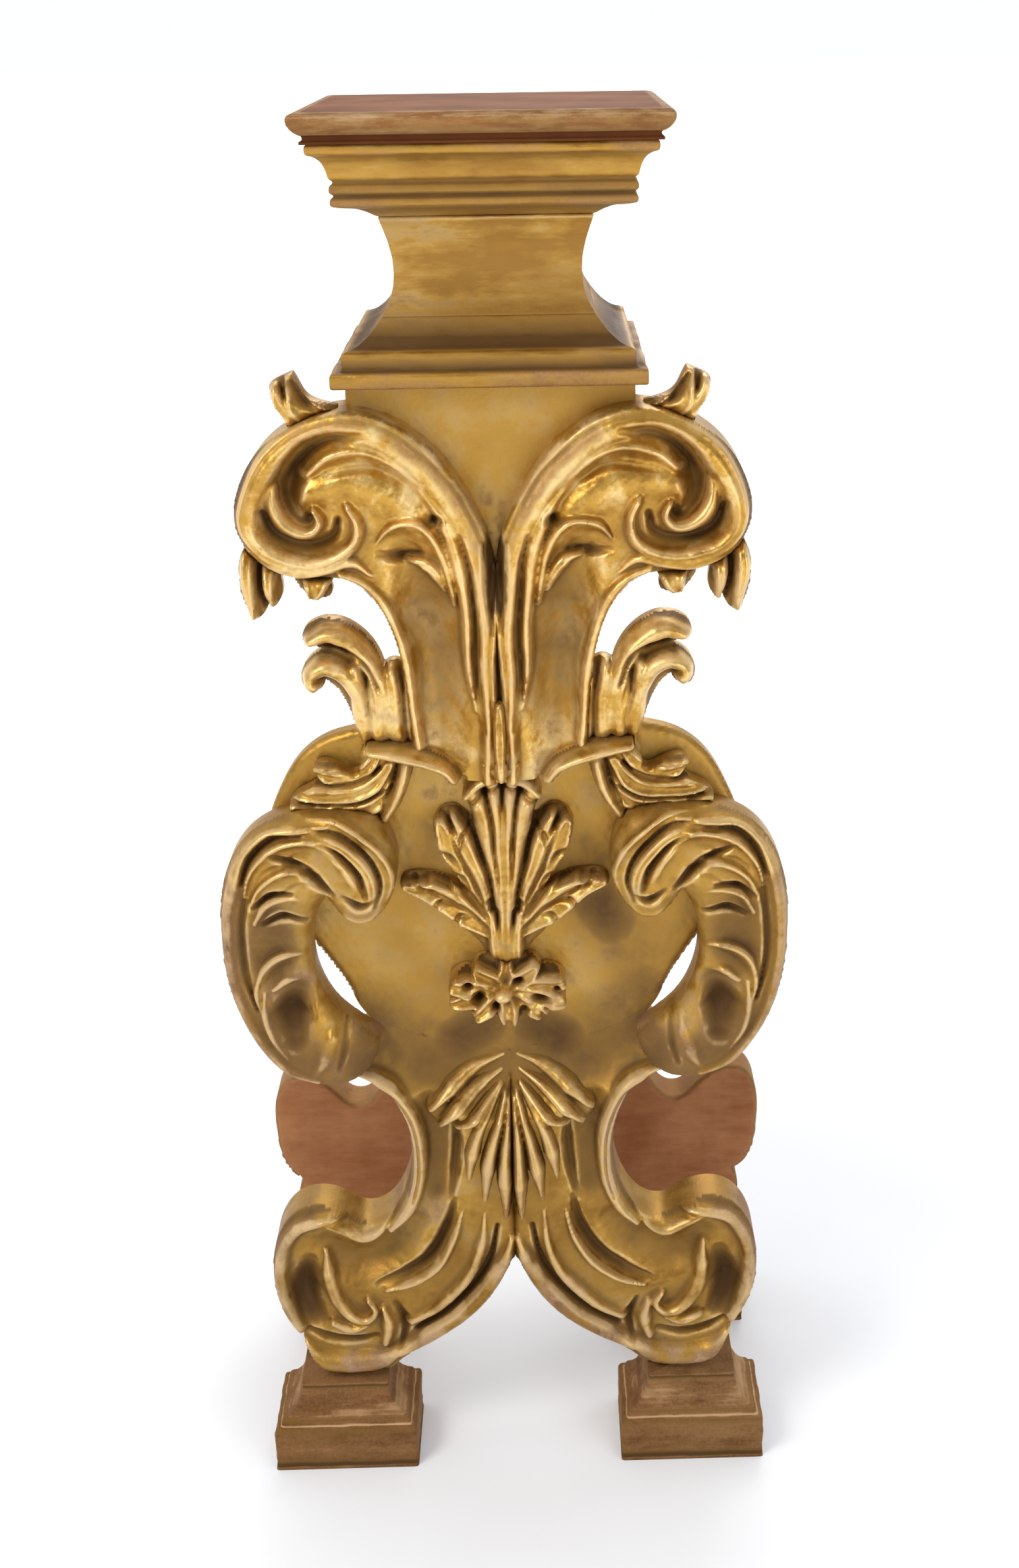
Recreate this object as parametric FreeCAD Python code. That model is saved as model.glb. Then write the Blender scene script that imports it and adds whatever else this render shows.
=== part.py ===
"""Carved and gilded sculpture stand: a moulded square capital on a laminated core, carried by scrolled legs.

Frame: X to the right, Y to the rear, Z up, in millimetres. The origin is on the floor, between the feet.
The carved front is drawn for the left side, at negative X, and mirrored for the right.
"""

import FreeCAD
import Part

import math
import os

# Capital, from the top down. An inset is how far a moulding stands back from the edge of the top.
TOP_WIDTH = 298.0
TOP_THICKNESS = 24.0
TOP_EDGE = 7.0
TOP_NOSE_DROP = 12.0
TOP_UNDERCUT = 11.0
CORNICE_HEIGHT = 60.0
CORNICE_INSET = 12.0
CORNICE_FRIEZE_INSET = 28.0
CORNICE_FILLET = 9.0
CORNICE_HOLLOW = 6.0
CORNICE_BEAD = 14.0
CORNICE_FOOT = 10.0
CORNICE_BLOCK_INSET = 69.0
NECK_HEIGHT = 80.0
NECK_INSET = 62.0
NECK_WAIST_INSET = 72.5
NECK_WAIST_LEVEL = 34.0
NECK_WALL = 18.0
BASE_HEIGHT = 52.0
BASE_INSET = 21.0
BASE_FACE_INSET = 30.5
BASE_FACE_TOP = 27.0
BASE_FILLET = 13.0
BASE_COVE_INSET = 38.0
BASE_COVE_HOLLOW = 5.0
BASE_LEDGE_RISE = 2.0
BASE_BLOCK_INSET = 77.0

# Carved body, between the feet and the capital
BODY_HEIGHT = 948.0
BODY_WIDTH = 502.0
CORE_PLANKS = ["front", "middle", "rear"]
LEG_THICKNESS = 60.0
LEG_RELIEF = 12.0
LEG_LEAF_RELIEF = 9.0
REAR_LEG_THICKNESS = 40.0
REAR_LEG_SETBACK = 4.0
BACK_PANEL_THICKNESS = 18.0
VOLUTE_SETBACK = 7.0
VOLUTE_RELIEF = 16.0
CALYX_RELIEF = 6.0
SHOULDER_PANEL_THICKNESS = 28.0
CARTOUCHE_THICKNESS = 22.0
ARM_RELIEF = 16.0
CURL_THICKNESS = 38.0
CLASP_THICKNESS = 48.0
SHOULDER_LEAF_THICKNESS = 30.0
PALMETTE_THICKNESS = 30.0
ROSETTE_THICKNESS = 42.0
ROSETTE_RADIUS = 54.0
ROSETTE_SQUASH = 0.6
ROSETTE_PETALS = 8
ROSETTE_NOTCH = 11.0
TIP_LEAF_THICKNESS = 34.0
TIP_LEAF_SETBACK = 10.0
HUSK_THICKNESS = 36.0
HUSK_SETBACK = 6.0

# Feet
FOOT_HEIGHT = 86.0
FOOT_WIDTH = 136.0
FOOT_DEPTH = 90.0
FOOT_CENTRE_X = 165.0
FOOT_BLOCK_HEIGHT = 44.0
FOOT_LEDGE = 6.0
FOOT_LEDGE_HEIGHT = 6.0
FOOT_NECK_WIDTH = 82.0
FOOT_NECK_DEPTH = 60.0
FOOT_NECK_HEIGHT = 6.0
FOOT_SWEEP_STEPS = 5

# Joinery
DOWEL_DIAMETER = 12.0
DOWEL_DEPTH = 18.0
TOP_DOWEL_DEPTH = 12.0
TOP_DOWEL_OFFSET = 55.0
NECK_DOWEL_OFFSET = 30.0
BASE_DOWEL_OFFSET = 50.0
TENON_DIAMETER = 22.0
TENON_DEPTH = 30.0
FRONT_TENON_X = 151.0
REAR_TENON_X = 162.0
CORE_PEG_INSET = 12.0
NAIL_DIAMETER = 5.0
NAIL_DEPTH = 14.0

# The outlines below are real sizes on a body of this width, height and level, and stretch with the body.
DRAWN_WIDTH = 502.0
DRAWN_HEIGHT = 948.0
DRAWN_BOTTOM = 86.0

# Levels and planes that follow from the sizes above
BASE_BOTTOM = FOOT_HEIGHT + BODY_HEIGHT
NECK_BOTTOM = BASE_BOTTOM + BASE_HEIGHT
NECK_TOP = NECK_BOTTOM + NECK_HEIGHT
TOP_BOTTOM = NECK_TOP + CORNICE_HEIGHT
TOP_FACE = TOP_BOTTOM + TOP_THICKNESS
TOP_HALF = TOP_WIDTH / 2
CORNICE_HALF = TOP_HALF - CORNICE_INSET
CORNICE_FRIEZE_HALF = TOP_HALF - CORNICE_FRIEZE_INSET
CORNICE_BLOCK_HALF = TOP_HALF - CORNICE_BLOCK_INSET
NECK_HALF = TOP_HALF - NECK_INSET
NECK_WAIST_HALF = TOP_HALF - NECK_WAIST_INSET
NECK_POST_HALF = NECK_WAIST_HALF - NECK_WALL
BASE_HALF = TOP_HALF - BASE_INSET
BASE_FACE_HALF = TOP_HALF - BASE_FACE_INSET
BASE_COVE_HALF = TOP_HALF - BASE_COVE_INSET
BASE_BLOCK_HALF = TOP_HALF - BASE_BLOCK_INSET
FRONT = -TOP_HALF
REAR = TOP_HALF
FOOT_CENTRE_Y = TOP_HALF - FOOT_DEPTH / 2
LEG_FRONT = -FOOT_CENTRE_Y - LEG_THICKNESS / 2
LEG_FIELD = LEG_FRONT + LEG_RELIEF
CORE_FRONT = LEG_FRONT + LEG_THICKNESS
REAR_LEG_BACK = REAR - REAR_LEG_SETBACK
CORE_REAR = REAR_LEG_BACK - REAR_LEG_THICKNESS
PLANK_THICKNESS = (CORE_REAR - CORE_FRONT) / len(CORE_PLANKS)
VOLUTE_FRONT = FRONT + VOLUTE_SETBACK
VOLUTE_FIELD = VOLUTE_FRONT + VOLUTE_RELIEF
CARTOUCHE_FRONT = CORE_FRONT - CARTOUCHE_THICKNESS
REAR_TENON_Y = (CORE_REAR + FOOT_CENTRE_Y + FOOT_NECK_DEPTH / 2) / 2
WIDEN = BODY_WIDTH / DRAWN_WIDTH
RAISE = BODY_HEIGHT / DRAWN_HEIGHT

# Sides of the square capital, each a quarter turn on from the one before
SIDES = ["front", "right", "rear", "left"]

# Drawn outlines, as (x, z). Each is a list of smooth runs, and each run goes on to the start of the next.
# An outline named SIDE is the left half of a piece on the centre line, from its top to its bottom.
VOLUTE = [
    [(-0.5, 692)],
    [(-0.5, 880), (-8, 918), (-20, 944), (-42, 977), (-75, 1005), (-116, 1017), (-157, 1007), (-191, 983),
     (-210, 950), (-214, 924), (-206, 902), (-187, 885), (-161, 877)],
    [(-132, 875), (-111, 866), (-95, 846), (-84, 816), (-78, 781), (-75, 748)],
    [(-75, 719), (-48, 708), (-39, 698), (-20, 693)],
]
VOLUTE_BAND = [(-11, 712), (-12, 796), (-13, 876), (-29, 920), (-55, 960), (-87, 987), (-119, 998),
               (-152, 990), (-180, 969), (-195, 942), (-196, 920), (-182, 903), (-159, 897), (-137, 903)]
VOLUTE_BAND_WIDTHS = [14, 20, 22, 28, 30, 30, 30, 30, 28, 26, 24, 22, 20, 14]
TIP_LEAF = [
    [(-112, 1006), (-142, 992), (-164, 996)],
    [(-168, 1010), (-177, 1026), (-179, 1036), (-171, 1042)],
    [(-160, 1047), (-155, 1038), (-150, 1029), (-138, 1022), (-122, 1017)],
]
HUSK = [
    [(-181, 892), (-199, 911), (-209, 899)],
    [(-212, 876), (-209, 850), (-201, 841), (-193, 847)],
    [(-190, 857), (-185, 852), (-180, 857), (-178, 871)],
]
DROPLET = [
    [(-170, 886), (-152, 892), (-134, 884)],
    [(-138, 870), (-138, 860), (-150, 857), (-162, 865)],
]
CURL = [
    [(-114, 724), (-124, 746), (-131, 763), (-139, 777)],
    [(-147, 783), (-153, 775), (-160, 773), (-167, 780), (-167, 791), (-160, 803)],
    [(-148, 810), (-157, 814), (-164, 819), (-163, 828), (-153, 836), (-137, 838), (-119, 830), (-105, 815)],
    [(-97, 796), (-89, 800), (-77, 794)],
    [(-62, 770), (-62, 742)],
    [(-68, 717), (-94, 723)],
]
CLASP_SPINE = [(-114, 725), (-92, 723), (-68, 717), (-49, 708), (-39, 694)]
CLASP_WIDTHS = [13, 15, 16, 15, 12]
SHOULDER_LEAF = [
    [(-73, 719), (-78, 694), (-88, 670)],
    [(-99, 652), (-128, 645), (-164, 654)],
    [(-184, 666), (-174, 682), (-158, 692)],
    [(-162, 704), (-144, 706), (-126, 699)],
    [(-122, 714), (-113, 724)],
]
CARTOUCHE_SIDE = [
    [(0, 742), (-66, 739), (-126, 731), (-151, 724), (-177, 705), (-197, 672), (-210, 634), (-208, 594),
     (-190, 556), (-168, 522), (-150, 494), (-130, 458), (-98, 431), (-50, 408)],
    [(0, 400)],
]
ARM = [
    [(-110, 660), (-97, 638), (-93, 612), (-101, 582), (-116, 565), (-134, 564), (-148, 576)],
    [(-156, 588), (-166, 570), (-171, 545), (-170, 520), (-163, 496), (-151, 476), (-134, 460)],
    [(-116, 446), (-120, 428), (-134, 410)],
    [(-154, 402), (-178, 404), (-202, 416), (-224, 444), (-240, 480), (-248, 516), (-250, 552), (-248, 586),
     (-239, 620), (-220, 648), (-191, 664), (-152, 668)],
]
ARM_BAND = [(-118, 634), (-154, 642), (-187, 630), (-207, 597), (-210, 552), (-205, 508), (-188, 464),
            (-156, 428)]
ARM_BAND_WIDTHS = [24, 34, 44, 52, 54, 50, 42, 28]
PALMETTE_SIDE = [
    [(0, 699), (-20, 694), (-34, 680)],
    [(-30, 665), (-27, 653)],
    [(-38, 661), (-52, 661), (-61, 649), (-55, 625), (-42, 601)],
    [(-33, 584), (-48, 594), (-70, 600), (-90, 596)],
    [(-92, 584), (-64, 565), (-40, 545), (-22, 526)],
    [(-18, 500)],
    [(0, 494)],
]
ROSETTE_CENTRE = (0, 488)
CALYX_SIDE = [
    [(0, 768), (-10, 755), (-15, 741)],
    [(-24, 737), (-22, 722), (-12, 705)],
    [(0, 694)],
]
LEG = [
    [(-0.5, 209)],
    [(-0.5, 416), (-45, 424), (-88, 436)],
    [(-122, 456)],
    [(-168, 410), (-140, 405), (-118, 395), (-103, 376), (-95, 350), (-93, 323), (-97, 295), (-107, 270),
     (-121, 254), (-138, 249), (-156, 258), (-176, 266), (-199, 263), (-216, 246), (-226, 217), (-227, 187),
     (-220, 158), (-209, 138)],
    [(-198, 118)],
    [(-191, 98)],
    [(-180, 86)],
    [(-122, 86)],
    [(-104, 102), (-74, 121), (-45, 142), (-23, 167), (-10, 192)],
]
LEG_BAND = [(-18, 404), (-20, 345), (-24, 283), (-36, 230), (-62, 186), (-100, 151), (-143, 132), (-181, 140),
            (-206, 169), (-211, 205), (-197, 236)]
LEG_BAND_WIDTHS = [30, 26, 26, 28, 30, 30, 28, 26, 24, 22, 14]
LEG_LEAF = [
    [(-0.5, 444), (-30, 432), (-56, 404), (-77, 372)],
    [(-67, 355), (-52, 353)],
    [(-43, 344), (-45, 318), (-41, 294)],
    [(-28, 274), (-14, 256)],
    [(-0.5, 242)],
]
REAR_LEG = [
    [(-0.5, 258)],
    [(-0.5, 392), (-58, 384), (-102, 346), (-128, 290), (-145, 255), (-158, 243), (-171, 243), (-183, 253),
     (-197, 267), (-216, 277), (-234, 275), (-246, 260), (-251, 236), (-250, 206), (-244, 176)],
    [(-226, 156), (-230, 146), (-231, 128), (-224, 108)],
    [(-200, 86)],
    [(-126, 86)],
    [(-118, 118), (-76, 156), (-44, 190), (-18, 226)],
]
CORE_SIDE = [
    [(0, 1034)],
    [(-118, 1034), (-113, 985), (-96, 925), (-72, 862), (-64, 800), (-62, 740), (-72, 680), (-98, 625),
     (-112, 565), (-108, 500), (-90, 440), (-62, 380), (-34, 310)],
    [(-12, 258)],
    [(0, 252)],
]
SHOULDER_PANEL_SIDE = [
    [(0, 1034)],
    [(-118, 1034), (-113, 985), (-60, 900)],
    [(0, 860)],
]

# Drawn places of pegs and nails on the left side, and of pegs on the centre line
CORE_PEGS = [(0, 960), (0, 640), (0, 420)]
VOLUTE_PEGS = [(-35, 830), (-70, 950)]
LEG_PEGS = [(-24, 390), (-24, 320)]
REAR_LEG_PEGS = [(-24, 360), (-24, 310)]
ORNAMENT_NAILS = [(-108, 680), (-92, 723), (-124, 624), (-186, 616), (-136, 430)]
CENTRE_NAILS = [(0, 668), (0, 590), (0, 488)]


def vector(x, y, z):
    return FreeCAD.Vector(x, y, z)


def drawn(point, y):
    """The place on the body of a drawn point."""
    x, z = point
    return vector(x * WIDEN, y, FOOT_HEIGHT + (z - DRAWN_BOTTOM) * RAISE)


def smooth_edge(points):
    """A straight edge through two points, or a smooth one through more."""
    if len(points) == 2:
        return Part.LineSegment(points[0], points[1]).toShape()
    curve = Part.BSplineCurve()
    curve.interpolate(points)
    return curve.toShape()


def face_of_runs(runs):
    """The face inside smooth runs. Each goes on to the start of the next, and the last to the first."""
    edges = [smooth_edge(run + following[:1]) for run, following in zip(runs, runs[1:] + runs[:1])]
    return Part.Face(Part.Wire(edges))


def carve(runs, front, back):
    """A board of a drawn outline between two depths."""
    face = face_of_runs([[drawn(point, front) for point in run] for run in runs])
    return face.extrude(vector(0, back - front, 0))


def both_sides(half_runs):
    """The whole outline of a piece on the centre line, from its left half."""
    left = [run + following[:1] for run, following in zip(half_runs, half_runs[1:])]
    right = [[(-x, z) for x, z in reversed(run)] for run in reversed(left)]
    return [run[:-1] for run in left + right]


def band(spine, widths):
    """The outline of a band of varying width along a drawn spine."""
    left, right = [], []
    for i, (x, z) in enumerate(spine):
        before, after = spine[max(i - 1, 0)], spine[min(i + 1, len(spine) - 1)]
        along_x, along_z = after[0] - before[0], after[1] - before[1]
        reach = widths[i] / 2 / math.hypot(along_x, along_z)
        left.append((x - along_z * reach, z + along_x * reach))
        right.append((x + along_z * reach, z - along_x * reach))
    return [left[:-1], left[-1:], right[:0:-1], right[:1]]


def mirrored(shape):
    """The same shape on the other side of the stand."""
    return shape.mirror(vector(0, 0, 0), vector(1, 0, 0))


def pair(shapes):
    """The shapes of the left side together with those of the right."""
    return shapes + [mirrored(shape) for shape in shapes]


def peg(point, front, back, diameter):
    """A round peg along Y at a drawn place."""
    return Part.makeCylinder(diameter / 2, back - front, drawn(point, front), vector(0, 1, 0))


def dowel(x, y, bottom, top, diameter):
    """A round upright dowel."""
    return Part.makeCylinder(diameter / 2, top - bottom, vector(x, y, bottom), vector(0, 0, 1))


def square_of_dowels(offset, bottom, top):
    """Four upright dowels, one in each quarter of the capital."""
    places = [(x, y) for x in (-offset, offset) for y in (-offset, offset)]
    return [dowel(x, y, bottom, top, DOWEL_DIAMETER) for x, y in places]


def without(shape, others):
    """The shape with the others taken out of it."""
    for other in others:
        shape = shape.cut(other)
    return shape


def square_block(half, bottom, top):
    return Part.makeBox(2 * half, 2 * half, top - bottom, vector(-half, -half, bottom))


def mitred_front(profile, half):
    """The front side of a square moulding, cut at 45 degrees at both ends.

    The profile is a list of smooth runs of (distance from the axis, height).
    """
    section = face_of_runs([[vector(-half, -out, z) for out, z in run] for run in profile])
    bar = section.extrude(vector(2 * half, 0, 0))
    bottom = bar.BoundBox.ZMin
    corners = [vector(0, 0, bottom), vector(-half, -half, bottom), vector(half, -half, bottom)]
    wedge = Part.Face(Part.makePolygon(corners + corners[:1])).extrude(vector(0, 0, bar.BoundBox.ZLength))
    return bar.common(wedge)


def turned(shape, quarter):
    """The shape turned about the upright axis by quarter turns."""
    copy = shape.copy()
    copy.rotate(vector(0, 0, 0), vector(0, 0, 1), 90 * quarter)
    return copy


def top_board():
    """Slab with a rounded edge above and a hollow below."""
    edge, nose = TOP_FACE - TOP_EDGE, TOP_FACE - TOP_NOSE_DROP
    round_out = TOP_EDGE * math.sin(math.pi / 4)
    profile = [
        [(0, TOP_BOTTOM)],
        [(0, TOP_FACE)],
        [(TOP_HALF - TOP_EDGE, TOP_FACE), (TOP_HALF - TOP_EDGE + round_out, edge + round_out)],
        [(TOP_HALF, edge)],
        [(TOP_HALF, nose), (TOP_HALF - TOP_UNDERCUT / 2, (nose + TOP_BOTTOM) / 2)],
        [(TOP_HALF - TOP_UNDERCUT, TOP_BOTTOM)],
    ]
    front = mitred_front(profile, TOP_HALF)
    quarters = [turned(front, quarter) for quarter in range(len(SIDES))]
    return quarters[0].multiFuse(quarters[1:]).removeSplitter()


def cornice_side():
    """Fillet, hollow frieze, bead and foot, from the top down."""
    hollow_top = TOP_BOTTOM - CORNICE_FILLET
    bead_bottom = NECK_TOP + CORNICE_FOOT
    bead_top = bead_bottom + CORNICE_BEAD
    profile = [
        [(CORNICE_BLOCK_HALF, NECK_TOP)],
        [(CORNICE_BLOCK_HALF, TOP_BOTTOM)],
        [(CORNICE_HALF, TOP_BOTTOM)],
        [(CORNICE_HALF, hollow_top), ((CORNICE_HALF + CORNICE_FRIEZE_HALF) / 2 - CORNICE_HOLLOW,
                                      (hollow_top + bead_top) / 2 + CORNICE_HOLLOW)],
        [(CORNICE_FRIEZE_HALF, bead_top)],
        [(CORNICE_FRIEZE_HALF, bead_bottom), ((CORNICE_FRIEZE_HALF + NECK_HALF) / 2 - CORNICE_HOLLOW,
                                              (bead_bottom + NECK_TOP) / 2 + CORNICE_HOLLOW)],
        [(NECK_HALF, NECK_TOP)],
    ]
    return mitred_front(profile, CORNICE_HALF)


def neck_side():
    """Hollow board, narrowest at its waist."""
    profile = [
        [(NECK_POST_HALF, NECK_BOTTOM)],
        [(NECK_POST_HALF, NECK_TOP)],
        [(NECK_HALF, NECK_TOP), (NECK_WAIST_HALF, NECK_BOTTOM + NECK_WAIST_LEVEL)],
        [(NECK_HALF, NECK_BOTTOM)],
    ]
    return mitred_front(profile, NECK_HALF)


def base_moulding_side():
    """Cove, sloping ledge, upright face and bottom fillet, from the top down."""
    face_top = BASE_BOTTOM + BASE_FACE_TOP
    ledge_top = face_top + BASE_LEDGE_RISE
    fillet_top = BASE_BOTTOM + BASE_FILLET
    profile = [
        [(BASE_BLOCK_HALF, BASE_BOTTOM)],
        [(BASE_BLOCK_HALF, NECK_BOTTOM)],
        [(NECK_HALF, NECK_BOTTOM), ((NECK_HALF + BASE_COVE_HALF) / 2 - BASE_COVE_HOLLOW / 2,
                                    (NECK_BOTTOM + ledge_top) / 2 - BASE_COVE_HOLLOW)],
        [(BASE_COVE_HALF, ledge_top)],
        [(BASE_FACE_HALF, face_top)],
        [(BASE_FACE_HALF, fillet_top)],
        [(BASE_HALF, fillet_top)],
        [(BASE_HALF, BASE_BOTTOM)],
    ]
    return mitred_front(profile, BASE_HALF)


def foot_level(width, depth, height):
    """A rectangle about the foot's upright axis."""
    x, y = width / 2, depth / 2
    corners = [vector(-x, -y, height), vector(x, -y, height), vector(x, y, height), vector(-x, y, height)]
    return Part.makePolygon(corners + corners[:1])


def foot():
    """Block, ledge, hollow sweep and neck, about its own upright axis."""
    sweep_bottom = FOOT_BLOCK_HEIGHT + FOOT_LEDGE_HEIGHT
    neck_bottom = FOOT_HEIGHT - FOOT_NECK_HEIGHT
    wide, deep = FOOT_WIDTH - 2 * FOOT_LEDGE, FOOT_DEPTH - 2 * FOOT_LEDGE
    sections = []
    for step in range(FOOT_SWEEP_STEPS + 1):
        angle = math.pi / 2 * step / FOOT_SWEEP_STEPS
        inward = math.sin(angle)
        height = sweep_bottom + (neck_bottom - sweep_bottom) * (1 - math.cos(angle))
        width = wide + (FOOT_NECK_WIDTH - wide) * inward
        depth = deep + (FOOT_NECK_DEPTH - deep) * inward
        sections.append(foot_level(width, depth, height))
    sweep = Part.makeLoft(sections, True, True)
    block = Part.Face(foot_level(FOOT_WIDTH, FOOT_DEPTH, 0)).extrude(vector(0, 0, FOOT_BLOCK_HEIGHT))
    ledge = Part.Face(foot_level(wide, deep, FOOT_BLOCK_HEIGHT)).extrude(vector(0, 0, FOOT_LEDGE_HEIGHT))
    neck_base = Part.Face(foot_level(FOOT_NECK_WIDTH, FOOT_NECK_DEPTH, neck_bottom))
    neck = neck_base.extrude(vector(0, 0, FOOT_NECK_HEIGHT))
    return block.multiFuse([ledge, sweep, neck]).removeSplitter()


def rosette():
    """Oval flower with rounded petals between notches."""
    centre = drawn(ROSETTE_CENTRE, CARTOUCHE_FRONT - ROSETTE_THICKNESS)
    reaches = [ROSETTE_RADIUS - ROSETTE_NOTCH, ROSETTE_RADIUS, ROSETTE_RADIUS]
    runs = []
    for petal in range(ROSETTE_PETALS):
        run = []
        for step, reach in enumerate(reaches):
            angle = 2 * math.pi * (petal + step / len(reaches)) / ROSETTE_PETALS
            run.append(centre + vector(reach * math.cos(angle), 0, ROSETTE_SQUASH * reach * math.sin(angle)))
        runs.append(run)
    return face_of_runs(runs).extrude(vector(0, ROSETTE_THICKNESS, 0))


def capital():
    """Nodes of the capital, with the dowels that join it and hold it to the core."""
    top_dowels = square_of_dowels(TOP_DOWEL_OFFSET, TOP_BOTTOM - DOWEL_DEPTH, TOP_BOTTOM + TOP_DOWEL_DEPTH)
    neck_dowels = square_of_dowels(NECK_DOWEL_OFFSET, NECK_BOTTOM - DOWEL_DEPTH, NECK_TOP + DOWEL_DEPTH)
    cornice_block = square_block(CORNICE_BLOCK_HALF, NECK_TOP, TOP_BOTTOM)
    neck_post = square_block(NECK_POST_HALF, NECK_BOTTOM, NECK_TOP)
    base_block = square_block(BASE_BLOCK_HALF, BASE_BOTTOM, NECK_BOTTOM)
    nodes = {
        "top_board": without(top_board(), top_dowels),
        "cornice_block": without(cornice_block, top_dowels + neck_dowels),
        "neck_post": without(neck_post, neck_dowels),
        "base_block": without(base_block, neck_dowels + base_dowels()),
        "top_dowels": Part.makeCompound(top_dowels),
        "neck_dowels": Part.makeCompound(neck_dowels),
        "base_dowels": Part.makeCompound(base_dowels()),
    }
    mouldings = {"cornice": cornice_side(), "neck": neck_side(), "base_moulding": base_moulding_side()}
    for name, front in mouldings.items():
        for quarter, side in enumerate(SIDES):
            nodes[f"{name}_{side}"] = turned(front, quarter)
    return nodes


def base_dowels():
    """Dowels from the base block into the front and middle planks."""
    levels = BASE_BOTTOM - DOWEL_DEPTH, BASE_BOTTOM + DOWEL_DEPTH
    rows = [CORE_FRONT + PLANK_THICKNESS / 2, CORE_FRONT + PLANK_THICKNESS * 3 / 2]
    columns = [-BASE_DOWEL_OFFSET, BASE_DOWEL_OFFSET]
    return [dowel(x, y, *levels, DOWEL_DIAMETER) for x in columns for y in rows]


def core(pins):
    """Planks glued side by side, with holes for every peg and dowel."""
    nodes = {}
    for number, place in enumerate(CORE_PLANKS):
        front = CORE_FRONT + number * PLANK_THICKNESS
        plank = carve(both_sides(CORE_SIDE), front, front + PLANK_THICKNESS)
        nodes[f"core_plank_{place}"] = without(plank, pins)
    return nodes


def raised(outline, spine, widths, front, relief, back):
    """A carved board with a raised band along a spine."""
    board = carve(outline, front + relief, back)
    return board.fuse(carve(band(spine, widths), front, back)).removeSplitter()


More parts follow.
